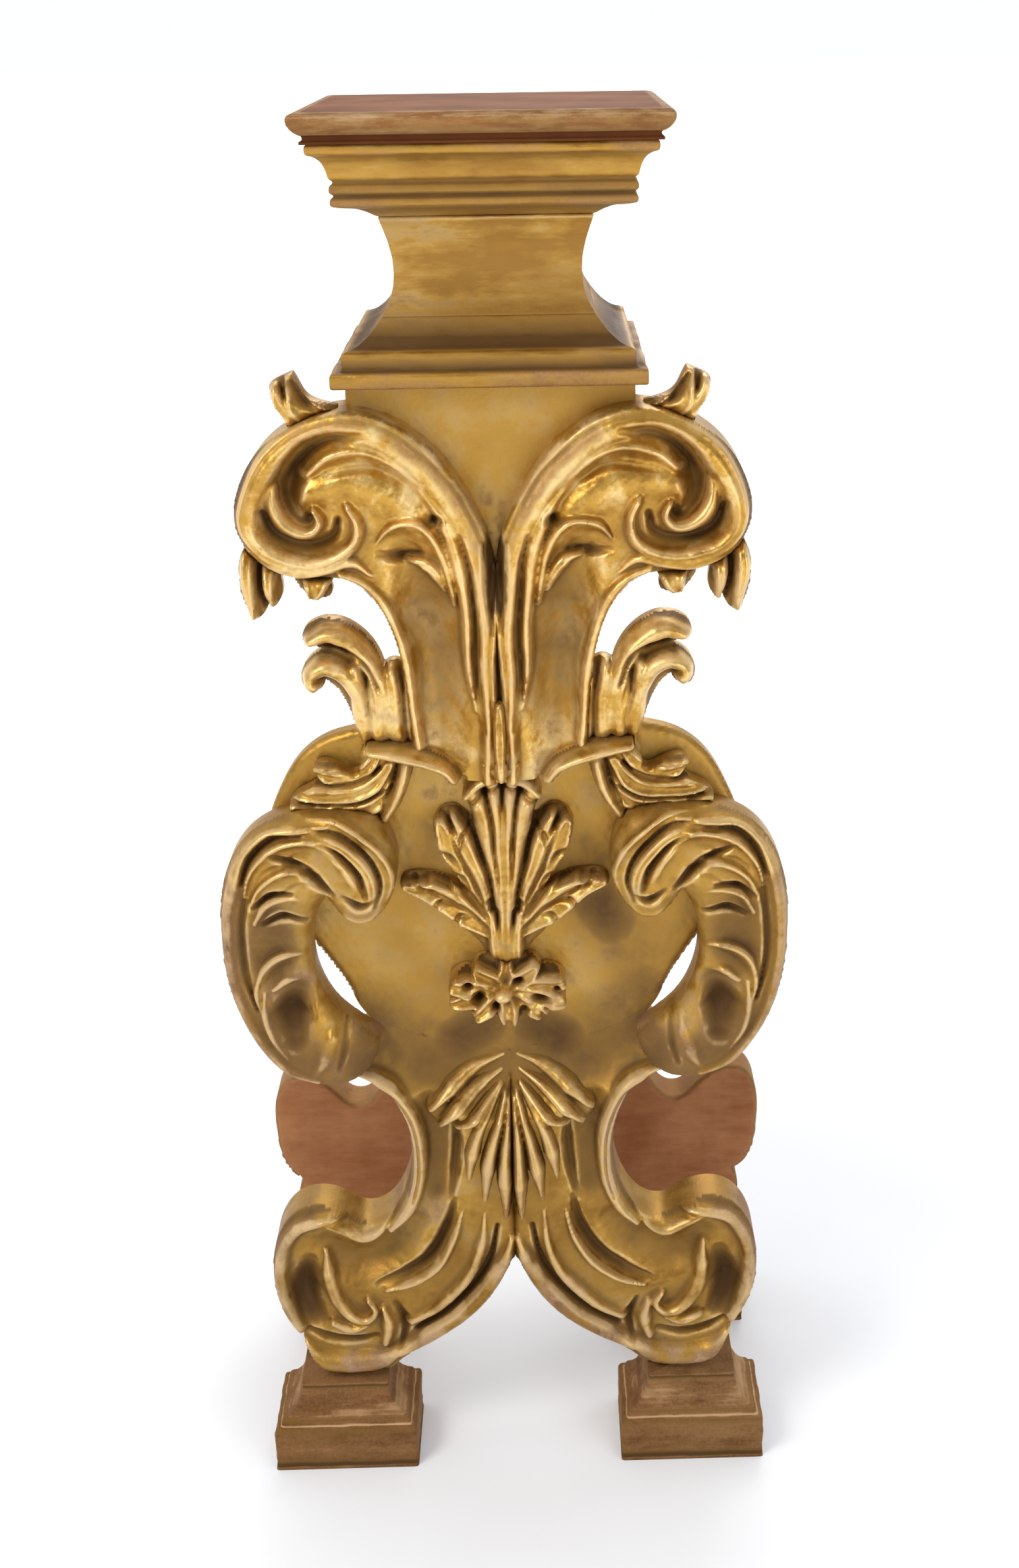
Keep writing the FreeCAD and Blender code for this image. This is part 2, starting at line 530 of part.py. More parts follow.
def body():
    """Nodes of the carved body and the rear, with their pegs and nails."""
    joint = CORE_FRONT - DOWEL_DEPTH, CORE_FRONT + DOWEL_DEPTH
    rear_joint = CORE_REAR - DOWEL_DEPTH, CORE_REAR + DOWEL_DEPTH
    nailed = CARTOUCHE_FRONT - NAIL_DEPTH, CARTOUCHE_FRONT + NAIL_DEPTH
    core_pegs = [peg(place, CORE_FRONT + CORE_PEG_INSET, CORE_REAR - CORE_PEG_INSET, DOWEL_DIAMETER)
                 for place in CORE_PEGS]
    volute_pegs = [peg(place, *joint, DOWEL_DIAMETER) for place in VOLUTE_PEGS]
    leg_pegs = [peg(place, *joint, DOWEL_DIAMETER) for place in LEG_PEGS]
    rear_leg_pegs = [peg(place, *rear_joint, DOWEL_DIAMETER) for place in REAR_LEG_PEGS]
    nails = [peg(place, *nailed, NAIL_DIAMETER) for place in ORNAMENT_NAILS]
    centre_nails = [peg(place, *nailed, NAIL_DIAMETER) for place in CENTRE_NAILS]
    tenon_levels = FOOT_HEIGHT - TENON_DEPTH, FOOT_HEIGHT + TENON_DEPTH
    tenon = dowel(-FRONT_TENON_X, -FOOT_CENTRE_Y, *tenon_levels, TENON_DIAMETER)
    rear_tenon = dowel(-REAR_TENON_X, REAR_TENON_Y, *tenon_levels, TENON_DIAMETER)

    clasp = carve(band(CLASP_SPINE, CLASP_WIDTHS), CARTOUCHE_FRONT - CLASP_THICKNESS, CARTOUCHE_FRONT)
    volute = raised(VOLUTE, VOLUTE_BAND, VOLUTE_BAND_WIDTHS, VOLUTE_FRONT, VOLUTE_RELIEF, CORE_FRONT)
    volute = without(volute, [clasp] + volute_pegs)
    arm = raised(ARM, ARM_BAND, ARM_BAND_WIDTHS, FRONT, ARM_RELIEF, CARTOUCHE_FRONT)
    leg = raised(LEG, LEG_BAND, LEG_BAND_WIDTHS, LEG_FRONT, LEG_RELIEF, CORE_FRONT)
    leg = without(leg, [arm, tenon] + leg_pegs + nails)
    rear_leg = without(carve(REAR_LEG, CORE_REAR, REAR_LEG_BACK), [rear_tenon] + rear_leg_pegs)
    tip_leaf_front = VOLUTE_FRONT + TIP_LEAF_SETBACK
    tip_leaf = carve(TIP_LEAF, tip_leaf_front, tip_leaf_front + TIP_LEAF_THICKNESS).cut(volute)
    husk_front = VOLUTE_FRONT + HUSK_SETBACK
    husk_back = husk_front + HUSK_THICKNESS
    husks = [carve(outline, husk_front, husk_back).cut(volute) for outline in (HUSK, DROPLET)]
    curl = carve(CURL, CARTOUCHE_FRONT - CURL_THICKNESS, CARTOUCHE_FRONT)
    shoulder_leaf = carve(SHOULDER_LEAF, CARTOUCHE_FRONT - SHOULDER_LEAF_THICKNESS, CARTOUCHE_FRONT)
    front_foot = foot().translated(vector(-FOOT_CENTRE_X, -FOOT_CENTRE_Y, 0))
    rear_foot = foot().translated(vector(-FOOT_CENTRE_X, FOOT_CENTRE_Y, 0))
    handed = {
        "volute": volute,
        "tip_leaf": tip_leaf,
        "husk": Part.makeCompound(husks),
        "curl": without(curl, [volute, clasp]),
        "clasp": without(clasp, nails),
        "shoulder_leaf": without(shoulder_leaf, [clasp, arm] + nails),
        "arm": without(arm, nails),
        "leg_front": leg,
        "leg_leaf": carve(LEG_LEAF, LEG_FRONT - LEG_LEAF_RELIEF, LEG_FIELD).cut(leg),
        "leg_rear": rear_leg,
        "foot_front": front_foot.cut(tenon),
        "foot_rear": rear_foot.cut(rear_tenon),
    }
    nodes = {}
    for name, shape in handed.items():
        nodes[f"{name}_left"] = shape
        nodes[f"{name}_right"] = mirrored(shape)

    shoulder_panel = carve(both_sides(SHOULDER_PANEL_SIDE), CORE_FRONT - SHOULDER_PANEL_THICKNESS, CORE_FRONT)
    cartouche = carve(both_sides(CARTOUCHE_SIDE), CARTOUCHE_FRONT, CORE_FRONT)
    palmette = carve(both_sides(PALMETTE_SIDE), CARTOUCHE_FRONT - PALMETTE_THICKNESS, CARTOUCHE_FRONT)
    calyx = carve(both_sides(CALYX_SIDE), VOLUTE_FRONT - CALYX_RELIEF, VOLUTE_FIELD)
    back_panel = carve(both_sides(CORE_SIDE), CORE_REAR, CORE_REAR + BACK_PANEL_THICKNESS)
    nodes["shoulder_panel"] = without(shoulder_panel, pair([volute, tip_leaf] + volute_pegs))
    nodes["cartouche"] = without(cartouche, pair([volute, leg] + nails) + centre_nails)
    nodes["rosette"] = without(rosette(), centre_nails)
    nodes["palmette"] = without(palmette, [rosette()] + centre_nails)
    nodes["calyx"] = without(calyx, pair([volute]))
    nodes["back_panel"] = without(back_panel, pair([rear_leg] + rear_leg_pegs))
    nodes["core_pegs"] = Part.makeCompound(core_pegs)
    nodes["volute_pegs"] = Part.makeCompound(pair(volute_pegs))
    nodes["leg_pegs_front"] = Part.makeCompound(pair(leg_pegs))
    nodes["leg_pegs_rear"] = Part.makeCompound(pair(rear_leg_pegs))
    nodes["foot_tenons"] = Part.makeCompound(pair([tenon, rear_tenon]))
    nodes["ornament_nails"] = Part.makeCompound(pair(nails) + centre_nails)
    nodes.update(core(core_pegs + base_dowels() + pair(volute_pegs + leg_pegs + rear_leg_pegs)))
    return nodes


os.makedirs("parts", exist_ok=True)
for name, shape in {**capital(), **body()}.items():
    print(f"{name}: {len(shape.Solids)} solid(s), {shape.Volume / 1000:.1f} cm3, valid {shape.isValid()}")
    shape.exportStep(f"parts/{name}.step")
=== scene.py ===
"""Carved and gilded sculpture stand: the looks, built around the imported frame, in metres.

The carving is drawn in millimetres on the front of each board, for the left side of the stand.
A front is a height map over the board's own outline, which is read from its CAD node.
"""

import math

import bpy
import numpy as np
from mathutils import Matrix, Vector


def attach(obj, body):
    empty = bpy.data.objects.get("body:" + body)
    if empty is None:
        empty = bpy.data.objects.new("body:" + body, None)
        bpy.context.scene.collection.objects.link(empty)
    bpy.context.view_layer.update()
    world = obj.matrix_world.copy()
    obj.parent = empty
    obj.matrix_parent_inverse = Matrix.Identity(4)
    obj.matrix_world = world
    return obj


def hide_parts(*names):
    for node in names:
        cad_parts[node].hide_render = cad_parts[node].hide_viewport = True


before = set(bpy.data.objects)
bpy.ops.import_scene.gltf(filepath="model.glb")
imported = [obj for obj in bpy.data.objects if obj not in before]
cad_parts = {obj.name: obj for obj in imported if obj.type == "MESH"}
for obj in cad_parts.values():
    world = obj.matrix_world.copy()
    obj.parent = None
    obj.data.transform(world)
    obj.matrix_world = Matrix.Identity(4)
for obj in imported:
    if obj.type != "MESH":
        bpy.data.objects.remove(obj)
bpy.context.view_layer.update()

MM, PER_METRE = 0.001, 1000
SHARP, RELIEF_SHARP = math.radians(50), math.radians(75)

# Sizes of the carving, in millimetres
GRID, FINE_GRID, PANEL_GRID, PLAIN_GRID = 1.4, 1.0, 2.4, 3.0
PATH_STEP = 2.5
FLAT = 0.05
CENTRE_GAP = 0.6
WANDER, WANDER_WAVE = 0.8, 60
SPILL, THINNEST = 4, 0.3
BLEND, FLANK = 2.0, 3
GESSO = 1.1
MARK_REACHES = (2.2, 7.0, 18.0)
TOOL_MARK, TOOL_WAVE = 0.2, 9.0
BACK_EDGE, LEAST_THICKNESS = 18, 2
# Rings of points down the side of a board, as shares of its thickness
WALL_LEVELS = (0.12, 0.5, 1.0)


# Carving profiles: height from 0 to 1 across a stroke, from its right edge at -1 to its left edge at 1
def round_top(s):
    return np.sqrt(np.clip(1 - s * s, 0, 1))


def soft_top(s):
    return 0.5 + 0.5 * np.cos(np.pi * np.clip(s, -1, 1))


def cup(s):
    """Gouged leaf: hollow in the middle, with raised edges."""
    a = np.abs(s)
    return np.where(a < 0.72, 0.66 + 0.34 * (a / 0.72) ** 2, round_top((a - 0.72) / 0.28))


def veined(s):
    """Rounded leaf with a groove along its middle."""
    return round_top(s) - 0.28 * np.exp(-(s / 0.16) ** 2)


def fold_left(s):
    """Leaf fold that rises slowly to a crest near its left edge and drops there."""
    return np.where(s < 0.6, np.clip((s + 1) / 1.6, 0, 1) ** 1.4, round_top((s - 0.6) / 0.4))


def fold_right(s):
    return fold_left(-s)


def cavetto(s):
    """Rim with a fine line by its outer edge, a crest, and a hollow towards its left side."""
    knots = [-1, -0.86, -0.66, -0.58, -0.5, -0.2, 0.1, 0.4, 0.7, 0.9, 1]
    levels = [0.3, 0.84, 0.93, 0.78, 0.94, 1, 0.92, 0.66, 0.36, 0.15, 0]
    return np.interp(s, knots, levels)


# Lines and fields
def signed_area(points):
    """Area inside a closed line, positive when it runs anticlockwise."""
    x, y = points.T
    return np.sum(x * np.roll(y, -1) - np.roll(x, -1) * y) / 2


def evenly(line, step, closed=False):
    """Evenly spaced points along a line, about a step apart."""
    length = np.concatenate([[0], np.cumsum(np.hypot(*np.diff(line, axis=0).T))])
    places = np.linspace(0, length[-1], max(4, int(length[-1] / step)), endpoint=not closed)
    return np.stack([np.interp(places, length, column) for column in line.T], -1)


def smooth_path(points):
    """Evenly spaced points on a smooth line through the drawn points."""
    points = np.array(points, float)
    if len(points) == 2:
        points = np.array([points[0], points.mean(0), points[1]])
    padded = np.vstack([2 * points[0] - points[1], points, 2 * points[-1] - points[-2]])
    t = np.linspace(0, 1, 16, endpoint=False)[:, None]
    fine = [0.5 * (2 * b + (c - a) * t + (2 * a - 5 * b + 4 * c - d) * t ** 2 + (3 * b - a - 3 * c + d) * t ** 3)
            for a, b, c, d in zip(padded, padded[1:], padded[2:], padded[3:])]
    return evenly(np.vstack(fine + [points[-1:]]), PATH_STEP)


def nearest(path, x, z, closed=False):
    """Distance to a path, the side of it (1 on the left), the share of the way along it, and its nearest point."""
    best = np.full(x.shape, np.inf)
    side, along, foot_x, foot_z = (np.zeros(x.shape) for _ in range(4))
    ends = np.roll(path, -1, 0) if closed else path[1:]
    for i, (a, b) in enumerate(zip(path, ends)):
        dx, dz = b - a
        square = dx * dx + dz * dz + 1e-12
        t = np.clip(((x - a[0]) * dx + (z - a[1]) * dz) / square, 0, 1)
        px, pz = a[0] + t * dx, a[1] + t * dz
        d = (x - px) ** 2 + (z - pz) ** 2
        closer = d < best
        best = np.where(closer, d, best)
        side = np.where(closer, dx * (z - a[1]) - dz * (x - a[0]), side)
        along = np.where(closer, (i + t) / len(ends), along)
        foot_x, foot_z = np.where(closer, px, foot_x), np.where(closer, pz, foot_z)
    return np.sqrt(best), np.where(side < 0, -1.0, 1.0), along, foot_x, foot_z


def ripple(x, z, seed, wave):
    """Smooth unevenness between about -1 and 1, with bumps about a wave apart."""
    rng = np.random.default_rng(seed)
    total = np.zeros(np.shape(x))
    for _ in range(7):
        angle, phase, share = rng.uniform(0, math.tau), rng.uniform(0, math.tau), rng.uniform(0.7, 1.5)
        k = math.tau / (wave * share)
        total = total + np.sin(k * (np.cos(angle) * x + np.sin(angle) * z) + phase)
    return total / 3.5


def spread(values, along):
    """A size that changes evenly between the given values along a stroke."""
    values = np.atleast_1d(np.array(values, float))
    return np.interp(along, np.linspace(0, 1, len(values)), values)


def blur(field, mask, size):
    """Local mean of a field inside a mask, over about the given size in grid steps."""
    reach = int(math.ceil(2.5 * size))
    kernel = np.exp(-0.5 * (np.arange(-reach, reach + 1) / size) ** 2)

    def pass_over(a):
        for axis in (0, 1):
            margin = [(reach, reach) if k == axis else (0, 0) for k in (0, 1)]
            a = np.apply_along_axis(np.convolve, axis, np.pad(a, margin), kernel, "valid")
        return a

    return pass_over(field * mask) / np.maximum(pass_over(mask.astype(float)), 1e-9)


def node_outlines(node, front=False):
    """Outer lines of a board's back, or of its front, in millimetres, as read from its CAD node."""
    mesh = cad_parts[node].data
    corners = np.array([v.co for v in mesh.vertices]) * PER_METRE
    level = corners[:, 1].min() if front else corners[:, 1].max()
    keys = [(round(x, 2), round(z, 2)) for x, _, z in corners]
    edges = {}
    for polygon in mesh.polygons:
        ring = list(polygon.vertices)
        if all(abs(corners[v][1] - level) < FLAT for v in ring):
            for a, b in zip(ring, ring[1:] + ring[:1]):
                if keys[a] != keys[b]:
                    edges[keys[a], keys[b]] = True
    following = {}
    for a, b in edges:
        if (b, a) not in edges:
            following.setdefault(a, []).append(b)
    loops = []
    while following:
        start = next(iter(following))
        loop, here = [start], start
        while here in following:
            onward = following[here].pop()
            if not following[here]:
                del following[here]
            if onward == start:
                break
            loop.append(onward)
            here = onward
        loops.append(np.array(loop))
    for loop in loops:
        loop[np.abs(loop[:, 0]) < CENTRE_GAP, 0] = 0.0
    return loops


def largest_loop(node, front=False):
    return max(node_outlines(node, front), key=lambda loop: abs(signed_area(loop)))


class Relief:
    """A carved board: its outline, and how far its front stands out towards -Y at each place."""

    def __init__(self, outline, front, seed, grid):
        self.seed, self.grid = seed, grid
        low, high = outline.min(0) - 2 * grid, outline.max(0) + 2 * grid
        columns, rows = (np.arange(low[k], high[k] + grid, grid) for k in (0, 1))
        self.x, self.z = np.meshgrid(columns, rows, indexing="ij")
        edge, _, _, self.edge_x, self.edge_z = nearest(outline, self.x, self.z, closed=True)
        inside = np.zeros(self.x.shape, bool)
        for (ax, az), (bx, bz) in zip(outline, np.roll(outline, -1, 0)):
            if az != bz:
                crosses = (az > self.z) != (bz > self.z)
                inside ^= crosses & (self.x < ax + (self.z - az) * (bx - ax) / (bz - az))
        self.depth = np.where(inside, edge, -edge)
        self.front = np.full(self.x.shape, float(front))
        self.soil, self.worn = np.zeros(self.x.shape), np.zeros(self.x.shape)
        self.warp_x = self.x + WANDER * ripple(self.x, self.z, seed + 11, WANDER_WAVE)
        self.warp_z = self.z + WANDER * ripple(self.x, self.z, seed + 12, WANDER_WAVE)

    def along(self, points, width):
        """The part of the board that a drawn line reaches, and how far across and along it each place is."""
        path = smooth_path(points)
        reach = np.max(width) / 2 + SPILL
        low, high = path.min(0) - reach, path.max(0) + reach
        axes = (self.x[:, 0], self.z[0])
        part = tuple(slice(*np.searchsorted(axis, [low[k], high[k]])) for k, axis in enumerate(axes))
        distance, side, along, _, _ = nearest(path, self.warp_x[part], self.warp_z[part])
        return part, distance, side, along, np.maximum(spread(width, along) / 2, THINNEST)

    def stroke(self, points, width, crest, rise, profile=round_top, over=None):
        """Raises the front along a drawn line up to a crest, which may be given over another surface."""
        part, distance, side, along, half = self.along(points, width)
        height = profile(np.clip(side * distance / half, -1, 1))
        new = spread(crest, along) - spread(rise, along) * (1 - height) - np.maximum(distance - half, 0) * FLANK
        if over is not None:
            new = new + over[part]
        old = self.front[part]
        self.front[part] = np.maximum(new, old) + np.maximum(BLEND - np.abs(new - old), 0) ** 2 / (4 * BLEND)

    def groove(self, points, width, depth):
        """Hollows the front along a drawn line, softly, to a depth below what is there."""
        part, distance, _, along, half = self.along(points, width)
        self.front[part] -= spread(depth, along) * np.clip(1 - (distance / half) ** 2, 0, 1) ** 2

    def pit(self, x, z, radius, depth):
        """A round hollow."""
        self.groove([(x, z), (x + 0.3, z)], 2 * radius, depth)

    def stain(self, points, width, soil=0.0, worn=0.0):
        """Darkens the gilding along a drawn line, for dirt and for painted shade; a negative amount lightens it as
        painted light. Also wears it to the bole.
        """
        part, distance, _, _, half = self.along(points, width)
        share = np.clip(1 - (distance / half) ** 2, 0, 1)
        self.soil[part] += soil * share
        self.worn[part] = np.maximum(self.worn[part], worn * share)

    def soften(self):
        """Rounds every edge a little, as gesso does, and notes where the carving is hollow or proud, and where dirt
        and painted shade darken it.
        """
        mask = self.depth > -1.5 * self.grid
        self.front = blur(self.front, mask, GESSO / self.grid)
        fine, near, far = (blur(self.front, mask, reach / self.grid) for reach in MARK_REACHES)
        self.fine = self.front - fine
        self.broad = self.front - 0.6 * near - 0.4 * far - self.soil

    def roughen(self):
        """Small tool marks."""
        marks = ripple(self.x, self.z, self.seed + 3, TOOL_WAVE)
        marks = marks + 0.6 * ripple(self.x, self.z, self.seed + 4, TOOL_WAVE / 2.3)
        self.front += TOOL_MARK * marks

    def finish_edges(self, radius, floor, flush):
        """Rounds the front down towards the outline, to no lower than the floor, except at a flush end."""
        share = np.clip(1 - self.depth / radius, 0, 1)
        if flush is not None:
            share = share * flush(self.x, self.z)
        self.front = np.maximum(self.front - radius * (1 - round_top(share)), floor)

    def mesh(self, name, back, limit, mirror, round_back):
        """The finished board as one closed mesh, with marks that say where it is hollow, proud or worn."""
        def corners(grid):
            return [grid[:-1, :-1], grid[1:, :-1], grid[:-1, 1:], grid[1:, 1:]]

        cells = sum(corners(self.depth)) > 0
        around = corners(np.pad(cells, 1))
        used = np.any(around, axis=0)
        border = used & ~np.all(around, axis=0)
        px = np.where(border, self.edge_x, self.x)[used]
        pz = np.where(border, self.edge_z, self.z)[used]
        py = -np.minimum(self.front, limit)[used]
        count = len(px)
        index = np.full(used.shape, -1)
        index[used] = np.arange(count)
        i, j = np.nonzero(cells)
        quads = np.stack([index[i, j], index[i + 1, j], index[i + 1, j + 1], index[i, j + 1]], -1)
        edges = np.concatenate([quads[:, [k, (k + 1) % 4]] for k in range(4)])
        rim = edges[~np.isin(edges @ [count, 1], edges @ [1, count])]
        rim_points = np.unique(rim)
        inner = np.setdiff1d(np.arange(count), rim_points)
        ring = np.full(count, -1)
        ring[rim_points] = np.arange(len(rim_points))
        fields = (self.fine, self.broad, np.maximum(self.depth, 0), self.worn)
        front_marks = np.stack([field[used] for field in fields])
        verts, faces, marks = [np.stack([px, py, pz], -1)], [quads], [front_marks]
        start, last = count, rim
        for level in WALL_LEVELS:
            y = py[rim_points] + (back - py[rim_points]) * level
            verts.append(np.stack([px[rim_points], y, pz[rim_points]], -1))
            here = start + ring[rim]
            faces.append(np.stack([last[:, 1], last[:, 0], here[:, 0], here[:, 1]], -1))
            marks.append(front_marks[:, rim_points] * [[0], [0], [0], [1]])
            last = here
            start += len(rim_points)
        back_index = np.full(count, -1)
        back_index[rim_points] = start - len(rim_points) + ring[rim_points]
        back_index[inner] = start + np.arange(len(inner))
        bulge = round_back * round_top(1 - np.clip(front_marks[2, inner] / BACK_EDGE, 0, 1))
        verts.append(np.stack([px[inner], back + bulge, pz[inner]], -1))
        faces.append(back_index[quads][:, ::-1])
        marks.append(front_marks[:, inner] * [[0], [0], [1], [1]])
        verts, faces = np.concatenate(verts), np.concatenate(faces)
        if mirror:
            verts, faces = verts * [-1, 1, 1], faces[:, ::-1]
        fine, broad, edge, worn = np.hstack(marks)
        return new_mesh(name, verts, faces, fine=fine, broad=broad, edge=edge, worn=worn)


def new_object(name, data):
    made = bpy.data.objects.new(name, data)
    bpy.context.scene.collection.objects.link(made)
    return made


def new_mesh(name, verts, faces, **attributes):
    """A smooth-shaded object from points in millimetres."""
    mesh = bpy.data.meshes.new(name)
    mesh.from_pydata((np.asarray(verts) * MM).tolist(), [], [list(map(int, f)) for f in faces])
    mesh.shade_smooth()
    for key, values in attributes.items():
        store = mesh.attributes.new(key, "FLOAT", "POINT")
        store.data.foreach_set("value", np.asarray(values, np.float32))
    mesh.update()
    return new_object(name, mesh)


# Materials
class Nodes:
    """Builds the shader nodes of a material or of the world."""

    def __init__(self, owner):
        owner.use_nodes = True
        self.owner, self.tree = owner, owner.node_tree

    def feed(self, socket, value):
        """Links an output to a socket, or sets the socket to a number or a colour."""
        if isinstance(value, bpy.types.NodeSocket):
            self.tree.links.new(value, socket)
        else:
            socket.default_value = (*value, 1) if socket.type == "RGBA" else value

    def add(self, kind, inputs=None, **settings):
        """The outputs of a new node with the given settings and inputs."""
        made = self.tree.nodes.new(kind)
        for key, value in settings.items():
            setattr(made, key, value)
        for key, value in (inputs or {}).items():
            self.feed(made.inputs[key], value)
        return made.outputs

    def noise(self, scale, detail=4.0, roughness=0.55, stretch=None):
        place = self.add("ShaderNodeTexCoord")["Object"]
        if stretch:
            place = self.add("ShaderNodeMapping", {"Vector": place, "Scale": stretch})[0]
        inputs = {"Vector": place, "Scale": scale, "Detail": detail, "Roughness": roughness}
        return self.add("ShaderNodeTexNoise", inputs)[0]

    def attribute(self, name):
        return self.add("ShaderNodeAttribute", attribute_name=name)["Fac"]

    def maths(self, operation, a, b, clamp=False):
        return self.add("ShaderNodeMath", {0: a, 1: b}, operation=operation, use_clamp=clamp)[0]

    def total(self, *terms):
        """The sum of outputs and numbers, where a pair is an output and its weight."""
        parts = [self.maths("MULTIPLY", *term) if isinstance(term, tuple) else term for term in terms]
        result = parts[0]
        for part in parts[1:]:
            result = self.maths("ADD", result, part)
        return result

    def ramp(self, value, *stops):
        """A ramp through stops of (place, colour or grey)."""
        output = self.add("ShaderNodeValToRGB", {0: value})[0]
        band = output.node.color_ramp
        while len(band.elements) < len(stops):
            band.elements.new(0.5)
        for element, (place, colour) in zip(band.elements, stops):
            element.position = place
            element.color = (*colour, 1) if isinstance(colour, tuple) else (colour, colour, colour, 1)
        return output

    def blend(self, share, a, b):
        return self.add("ShaderNodeMix", {0: share, 6: a, 7: b}, data_type="RGBA")[2]

    def bump(self, height, strength, distance):
        return self.add("ShaderNodeBump", {"Height": height, "Strength": strength, "Distance": distance})[0]

    def shade(self, inputs):
        """Feeds the material's shader, and returns the material."""
        shader = self.tree.nodes["Principled BSDF"]
        for key, value in inputs.items():
            self.feed(shader.inputs[key], value)
        return self.owner


def scaled(colour, share):
    return tuple(share * c for c in colour)


# Noise lies around this value
MEAN = 0.5
BOLE = ((0.12, 0.048, 0.022), (0.3, 0.145, 0.072))
WARM_BOLE = ((0.13, 0.05, 0.018), (0.30, 0.15, 0.06))
DARK_GOLD, MID_GOLD, LIGHT_GOLD = (0.30, 0.15, 0.028), (0.46, 0.26, 0.05), (0.68, 0.475, 0.18)
# Colours of the hollows, with dirt and painted shade, and of the crests, with pale gesso and a painted highlight
DULL_GOLD, DEEP_DIRT_AND_SHADE, GESSO_AND_HIGHLIGHT = (0.25, 0.135, 0.034), (0.09, 0.045, 0.015), (0.78, 0.56, 0.27)
GILT_EDGE, HIGHLIGHT_REACH = 3.0, 10.0


def gilding(name, wear, dirt_and_shade, bright=1.0, matt=0.24, bole=BOLE, bare=0.55, pale=GESSO_AND_HIGHLIGHT, crest_start=0.62, cloud=0.11,
            light=LIGHT_GOLD, streak=None):
    """Old leaf gilding over bole: rubbed to purple-brown on what stands proud, brown and dull in the hollows with
    dirt and painted shade, and pale on the crests with gesso showing through and a painted highlight.
    """
    n = Nodes(bpy.data.materials.new(name))
    broad, small, fine = n.noise(7), n.noise(40, 6, 0.65, streak), n.noise(380, 3)
    proud, swell, worn = n.attribute("fine"), n.attribute("broad"), n.attribute("worn")
    gold = n.ramp(n.total((broad, 0.5), (small, 0.5)), (MEAN - cloud, scaled(DARK_GOLD, bright)),
                  (MEAN, scaled(MID_GOLD, bright)), (MEAN + cloud, scaled(light, bright)))
    ground = n.ramp(n.total((small, 0.7), (fine, 0.3)), (0.38, bole[0]), (0.62, bole[1]))
    rub = n.total((proud, 0.1), worn, (small, 1.6), (broad, 2.2), wear - MEAN * (1.6 + 2.2))
    rub = n.ramp(rub, (0.42, 0.0), (0.75, 0.85))
    # Dirt and painted shade in the hollows
    hollow = n.total((proud, -0.17), (swell, -0.05), (small, 0.7), dirt_and_shade - MEAN * 0.7)
    dull = n.ramp(hollow, (0.0, 0.0), (0.5, 0.8))
    deep = n.ramp(hollow, (0.3, 0.0), (0.95, 0.9))
    # Crests: gesso showing through, and a painted highlight
    crest = n.ramp(n.total((proud, 0.45), (small, 0.9)), (crest_start, 0.0), (crest_start + 0.33, bare))
    colour = n.blend(rub, gold, ground)
    colour = n.blend(dull, colour, scaled(DULL_GOLD, bright))
    colour = n.blend(deep, colour, DEEP_DIRT_AND_SHADE)
    colour = n.blend(crest, colour, pale)
    shine = n.maths("MULTIPLY", n.total((rub, -0.6), 0.8), n.total((dull, -0.75), 1.0), clamp=True)
    rough = n.maths("ADD", n.total((rub, 0.2), (dull, 0.2), (small, 0.3)), matt, clamp=True)
    return n.shade({"Base Color": colour, "Metallic": shine, "Roughness": rough, "Specular IOR Level": 0.15,
                    "Normal": n.bump(n.total((fine, 0.3), small), 0.4, 0.0016)})


def painted(name, dark, light):
    """Matt worn paint with a gilt edge, darker in the hollows with painted shade, and with a painted highlight near
    the edge.
    """
    n = Nodes(bpy.data.materials.new(name))
    broad, small = n.noise(12), n.noise(120, 6, 0.7, (0.25, 1.0, 1.0))
    proud, edge = n.attribute("fine"), n.attribute("edge")
    colour = n.ramp(n.total((broad, 0.6), (small, 0.4)), (0.35, dark), (0.65, light))
    near = n.maths("DIVIDE", n.total(edge, (small, GILT_EDGE * 0.8)), 4 * GILT_EDGE)
    near = n.ramp(near, (0.3, 1.0), (0.42, 0.0))
    near = n.maths("MULTIPLY", near, n.ramp(small, (0.4, 0.35), (0.58, 1.0)))
    colour = n.blend(near, colour, (0.29, 0.165, 0.062))
    shade = n.ramp(n.maths("MULTIPLY", proud, -1.0), (0.15, 0.0), (0.9, 0.75))
    colour = n.blend(shade, colour, scaled(dark, 0.5))
    # Painted highlight along the proud edge, near the outline
    rim = n.ramp(n.maths("DIVIDE", edge, HIGHLIGHT_REACH), (0.3, 1.0), (0.8, 0.0))
    crest = n.ramp(n.total((proud, 0.5), (small, 0.9)), (0.62, 0.0), (0.92, 0.6))
    colour = n.blend(n.maths("MULTIPLY", crest, rim), colour, (0.6, 0.42, 0.26))
    return n.shade({"Base Color": colour, "Metallic": n.maths("MULTIPLY", near, 0.55),
                    "Roughness": n.total((small, 0.3), 0.55), "Specular IOR Level": 0.04,
                    "Normal": n.bump(small, 0.3, 0.0008)})


def timber(name, dark, light):
    """Plain wood with upright grain."""
    n = Nodes(bpy.data.materials.new(name))
    grain, blotch = n.noise(60, 6, 0.6, (1.0, 1.0, 0.06)), n.noise(8)
    colour = n.ramp(n.total((grain, 0.7), (blotch, 0.3)), (0.35, dark), (0.65, light))
    return n.shade({"Base Color": colour, "Roughness": n.total((grain, 0.25), 0.55),
                    "Normal": n.bump(grain, 0.3, 0.001)})


